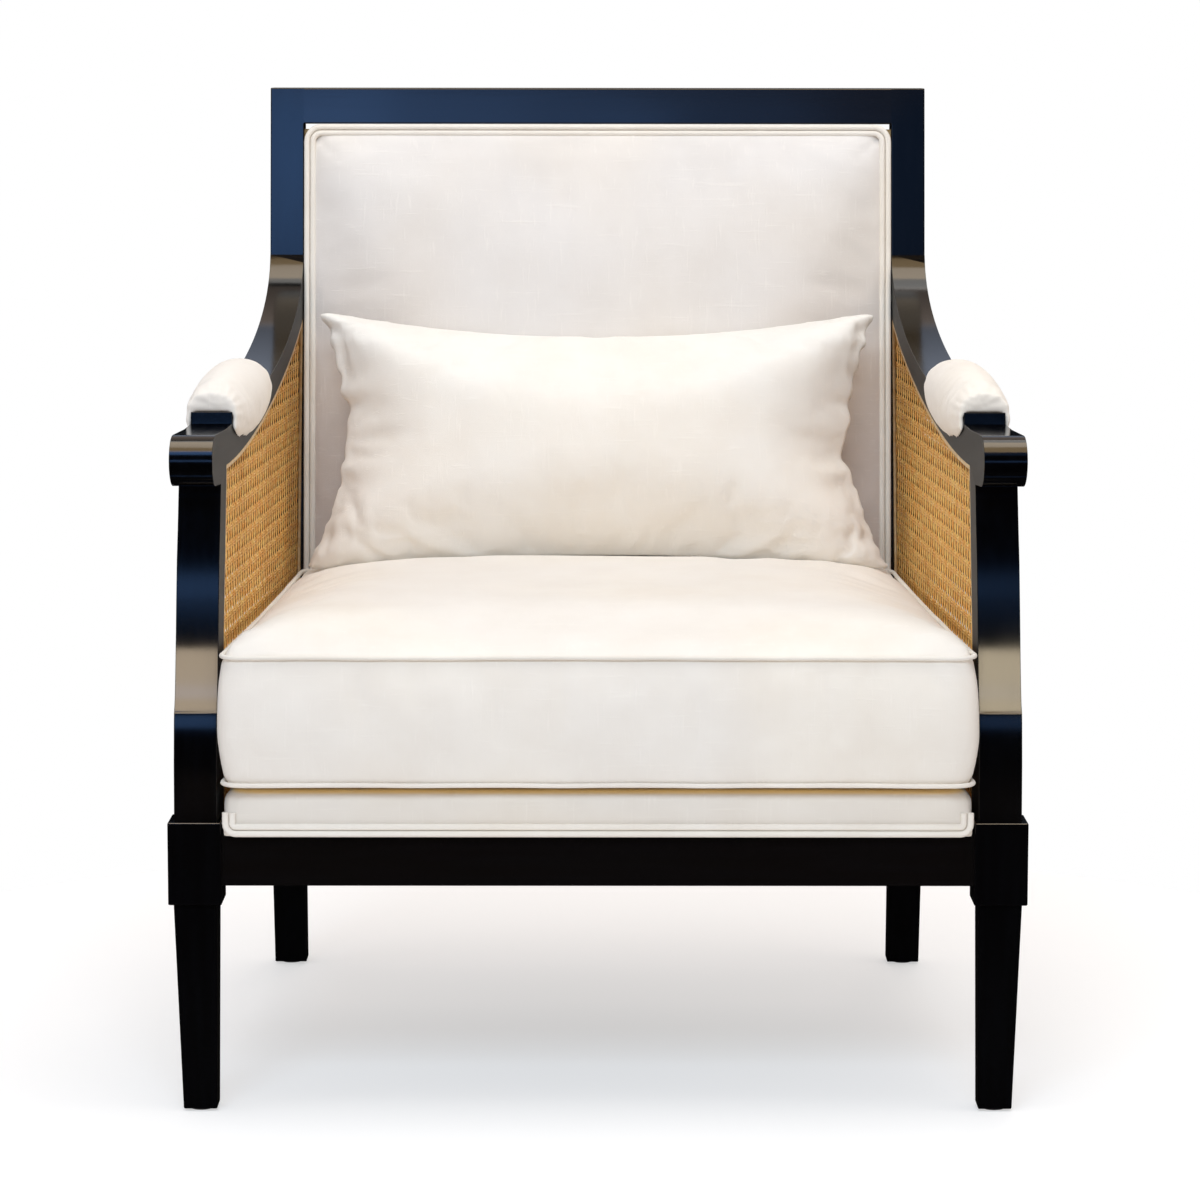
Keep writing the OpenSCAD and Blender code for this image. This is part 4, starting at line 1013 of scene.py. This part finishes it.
def makeZip():
    low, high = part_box("cushion_zip")
    middle = (low + high) / 2
    work = bmesh.new()
    for s in (-1, 1):
        made = bmesh.ops.create_grid(work, x_segments=60, y_segments=2, size=0.5)
        for v in made["verts"]:
            v.co = Vector((middle.x + v.co.x * (high.x - low.x), low.y + 0.0005,
                middle.z + s * zipper["apart"] + v.co.y * zipper["tape"]))
            v.co.y += 0.0002 * math.sin(v.co.x * 400)
    bmesh.ops.solidify(work, geom=work.faces[:], thickness=0.0004)
    tape = asPiece("cushion_zip_tape", work, "zipTape", "cushion", ["cushion_zip"])
    tape.data.validate()
    teeth = bmesh.new()
    bar = bmesh.ops.create_cube(teeth, size=1.0)
    bmesh.ops.scale(teeth, vec=zipper["tooth"], verts=bar["verts"])
    bmesh.ops.bevel(teeth, geom=teeth.edges[:], offset=0.0002, affect="EDGES", segments=1, profile=0.5, material=-1)
    shape = bpy.data.meshes.new("tooth")
    teeth.to_mesh(shape)
    teeth.clear()
    count = zipper["teeth"]
    for i in range(count):
        before = len(teeth.verts)
        teeth.from_mesh(shape)
        teeth.verts.ensure_lookup_table()
        x = low.x + 0.006 + (high.x - low.x - 0.012) * i / (count - 1)
        bmesh.ops.translate(teeth, vec=(x, low.y + 0.0013, middle.z + 0.0007 * (-1) ** i), verts=teeth.verts[before:])
    asPiece("cushion_zip_teeth", teeth, "zinc", "cushion", smooth=False)


print("hidden cloth")
makeWebbing()
clothSheet("spring_cover", "spring_cover_cloth", "duck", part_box("spring_cover")[1].z - 0.0003, 24,
    lambda p: -0.0007 * (0.5 + 0.5 * math.cos(p.x * 2 * math.pi / 0.125)))
clothSheet("dust_cover", "dust_cover_cloth", "dust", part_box("dust_cover")[1].z - 0.0001, 20,
    lambda p: -0.0012 * (1 - (p.x / 0.33) ** 2) + noise.noise(p * 12) * 0.0006)
makeZip()

# Nodes that keep their own shape get their finish
print("other finishes")
for node, finish in {"corner_braces": "beech", "tacking_strips": "beech", "frame_dowels": "beech",
        "brace_screws": "zinc", "seat_springs": "steel", "spring_clips": "zinc", "leg_glides": "nylon",
        "zip_slider": "zinc"}.items():
    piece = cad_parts[node]
    piece.data.materials.clear()
    piece.data.materials.append(finishes[finish])

# Studio: pale floor, a white surround, soft lights, and cards that only the lacquer mirrors
studio = {"floor": 0.95, "paint": 0.55, "glow": 0.52, "surround": 1.0, "ambient": (0.45, 0.40, 0.38),
    "mirrored": 0.0012}


def makeFloor():
    work = bmesh.new()
    bmesh.ops.create_circle(work, cap_ends=True, segments=96, radius=studio["floor"])
    mesh = bpy.data.meshes.new("floor")
    work.to_mesh(mesh)
    work.free()
    floor = placed("floor", mesh)
    floor.location.z = -0.0002
    made = Finish("floor_paint", Roughness=0.9, Specular_IOR_Level=0.1)
    speck = made.noise(3.0, None, 2.0)
    tone = made.mix(speck, (studio["paint"],) * 3 + (1,), (studio["paint"] * 1.04,) * 3 + (1,))
    made.set(Base_Color=tone, Emission_Color=(1, 1, 1, 1), Emission_Strength=studio["glow"])
    # Gloss sees a dark floor, as the cut-out photograph has none
    glossy = made.node("LightPath", out="Is Glossy Ray")
    dark = made.node("BsdfDiffuse", None, {"Color": (0.01, 0.01, 0.01, 1)})
    mixed = made.node("MixShader", None, {0: glossy, 1: Wire(made, made.shader.outputs[0]), 2: dark})
    made.plug(made.tree.nodes["Material Output"].inputs["Surface"], mixed)
    mesh.materials.append(made.material)


def makeSurround():
    # The camera sees white, cloth gets a dim warm ambient, and gloss sees almost nothing
    world = bpy.data.worlds.new("surround")
    scene.world = world
    world.use_nodes = True
    tree = world.node_tree
    out = tree.nodes["World Output"]
    path = tree.nodes.new("ShaderNodeLightPath")
    mirrored = tree.nodes["Background"]
    mirrored.inputs["Color"].default_value = (studio["mirrored"],) * 3 + (1,)
    last = mirrored
    for ray, colour in (("Is Diffuse Ray", studio["ambient"] + (1,)),
            ("Is Camera Ray", (studio["surround"],) * 3 + (1,))):
        shade = tree.nodes.new("ShaderNodeBackground")
        shade.inputs["Color"].default_value = colour
        mixed = tree.nodes.new("ShaderNodeMixShader")
        tree.links.new(path.outputs[ray], mixed.inputs[0])
        tree.links.new(last.outputs[0], mixed.inputs[1])
        tree.links.new(shade.outputs[0], mixed.inputs[2])
        last = mixed
    tree.links.new(last.outputs[0], out.inputs["Surface"])


def softBox(name, place, target, size, glow, diffuse=True, glossy=True):
    # glow is the box's own brightness in red, green and blue, whatever its size
    data = bpy.data.lights.new(name, "AREA")
    data.shape, data.size, data.size_y = "RECTANGLE", size[0], size[1]
    most = max(glow)
    data.energy, data.color = most * math.pi * size[0] * size[1], [g / most for g in glow]
    lamp = placed(name, data)
    lamp.location = place
    lamp.rotation_mode = "QUATERNION"
    lamp.rotation_quaternion = (Vector(target) - Vector(place)).to_track_quat("-Z", "Y")
    lamp.visible_camera, lamp.visible_diffuse, lamp.visible_glossy = False, diffuse, glossy


def card(name, x, y, z, width, height, glow, fall=0.0):
    # Card facing the chair, tipped down by fall, mirrored in the lacquer and lighting nothing else
    softBox(name, (x, y, z), (x, y + 1, z - fall), (width, height), glow, diffuse=False)


print("studio")
makeFloor()
makeSurround()
softBox("overhead", (0.15, -0.35, 3.0), (0, 0, 0.4), (2.2, 1.8), (2.8, 2.74, 2.63))
softBox("front", (-0.5, -4.3, 3.5), (0, 0, 0.5), (3.0, 1.5), (6.2, 7.7, 9.2), glossy=False)
softBox("low front", (0, -4.6, 0.6), (0, 0, 0.5), (2.6, 0.7), (2.3, 2.3, 2.3), glossy=False)
softBox("left fill", (-3.2, -1.2, 1.8), (0, 0, 0.5), (1.4, 1.6), (0.6, 0.65, 0.7))
softBox("right fill", (3.2, -0.6, 1.6), (0, 0, 0.5), (1.4, 1.6), (1.0, 0.88, 0.7))
softBox("behind", (0.4, 3.4, 2.4), (0, 0.3, 0.5), (2.4, 1.8), (2.4, 2.1, 1.9), glossy=False)
softBox("behind card", (0, 3.4, 2.4), (0, 0.3, 0.5), (3.0, 1.8), (0.42, 0.47, 0.58), diffuse=False)
softBox("rear ceiling card", (0, 1.6, 3.0), (0, 1.0, 0.4), (2.6, 2.0), (0.75, 0.6, 0.5), diffuse=False)
softBox("ceiling card", (0, -1.3, 3.0), (0, -1.0, 0.4), (2.4, 2.6), (3.4, 2.4, 1.3), diffuse=False)
skyBlue = (0.92, 2.0, 4.5)
skyCards = [(-0.45, 0.34, 0.7), (-0.2, 0.2, 0.5), (0, 0.2, 0.4), (0.2, 0.2, 0.22), (0.45, 0.34, 0.08)]
for i, (x, width, share) in enumerate(skyCards):
    card("sky card %d" % i, x, -1.0, 1.15, width, 0.34, [share * c for c in skyBlue])
for x, share, warm in ((-1, 1.0, (9.0, 7.2, 5.2)), (1, 0.5, (10.5, 8.8, 6.2))):
    card("post sky card", x * 0.43, -1.0, 0.615, 0.22, 0.08, [0.4 * share * c for c in skyBlue])
    card("lip sky card", x * 0.377, -0.42, 0.358, 0.07, 0.02, [0.4 * share * c for c in skyBlue])
    card("post warm card", x * 0.377, -0.42, 0.414, 0.07, 0.034, warm, 0.75)
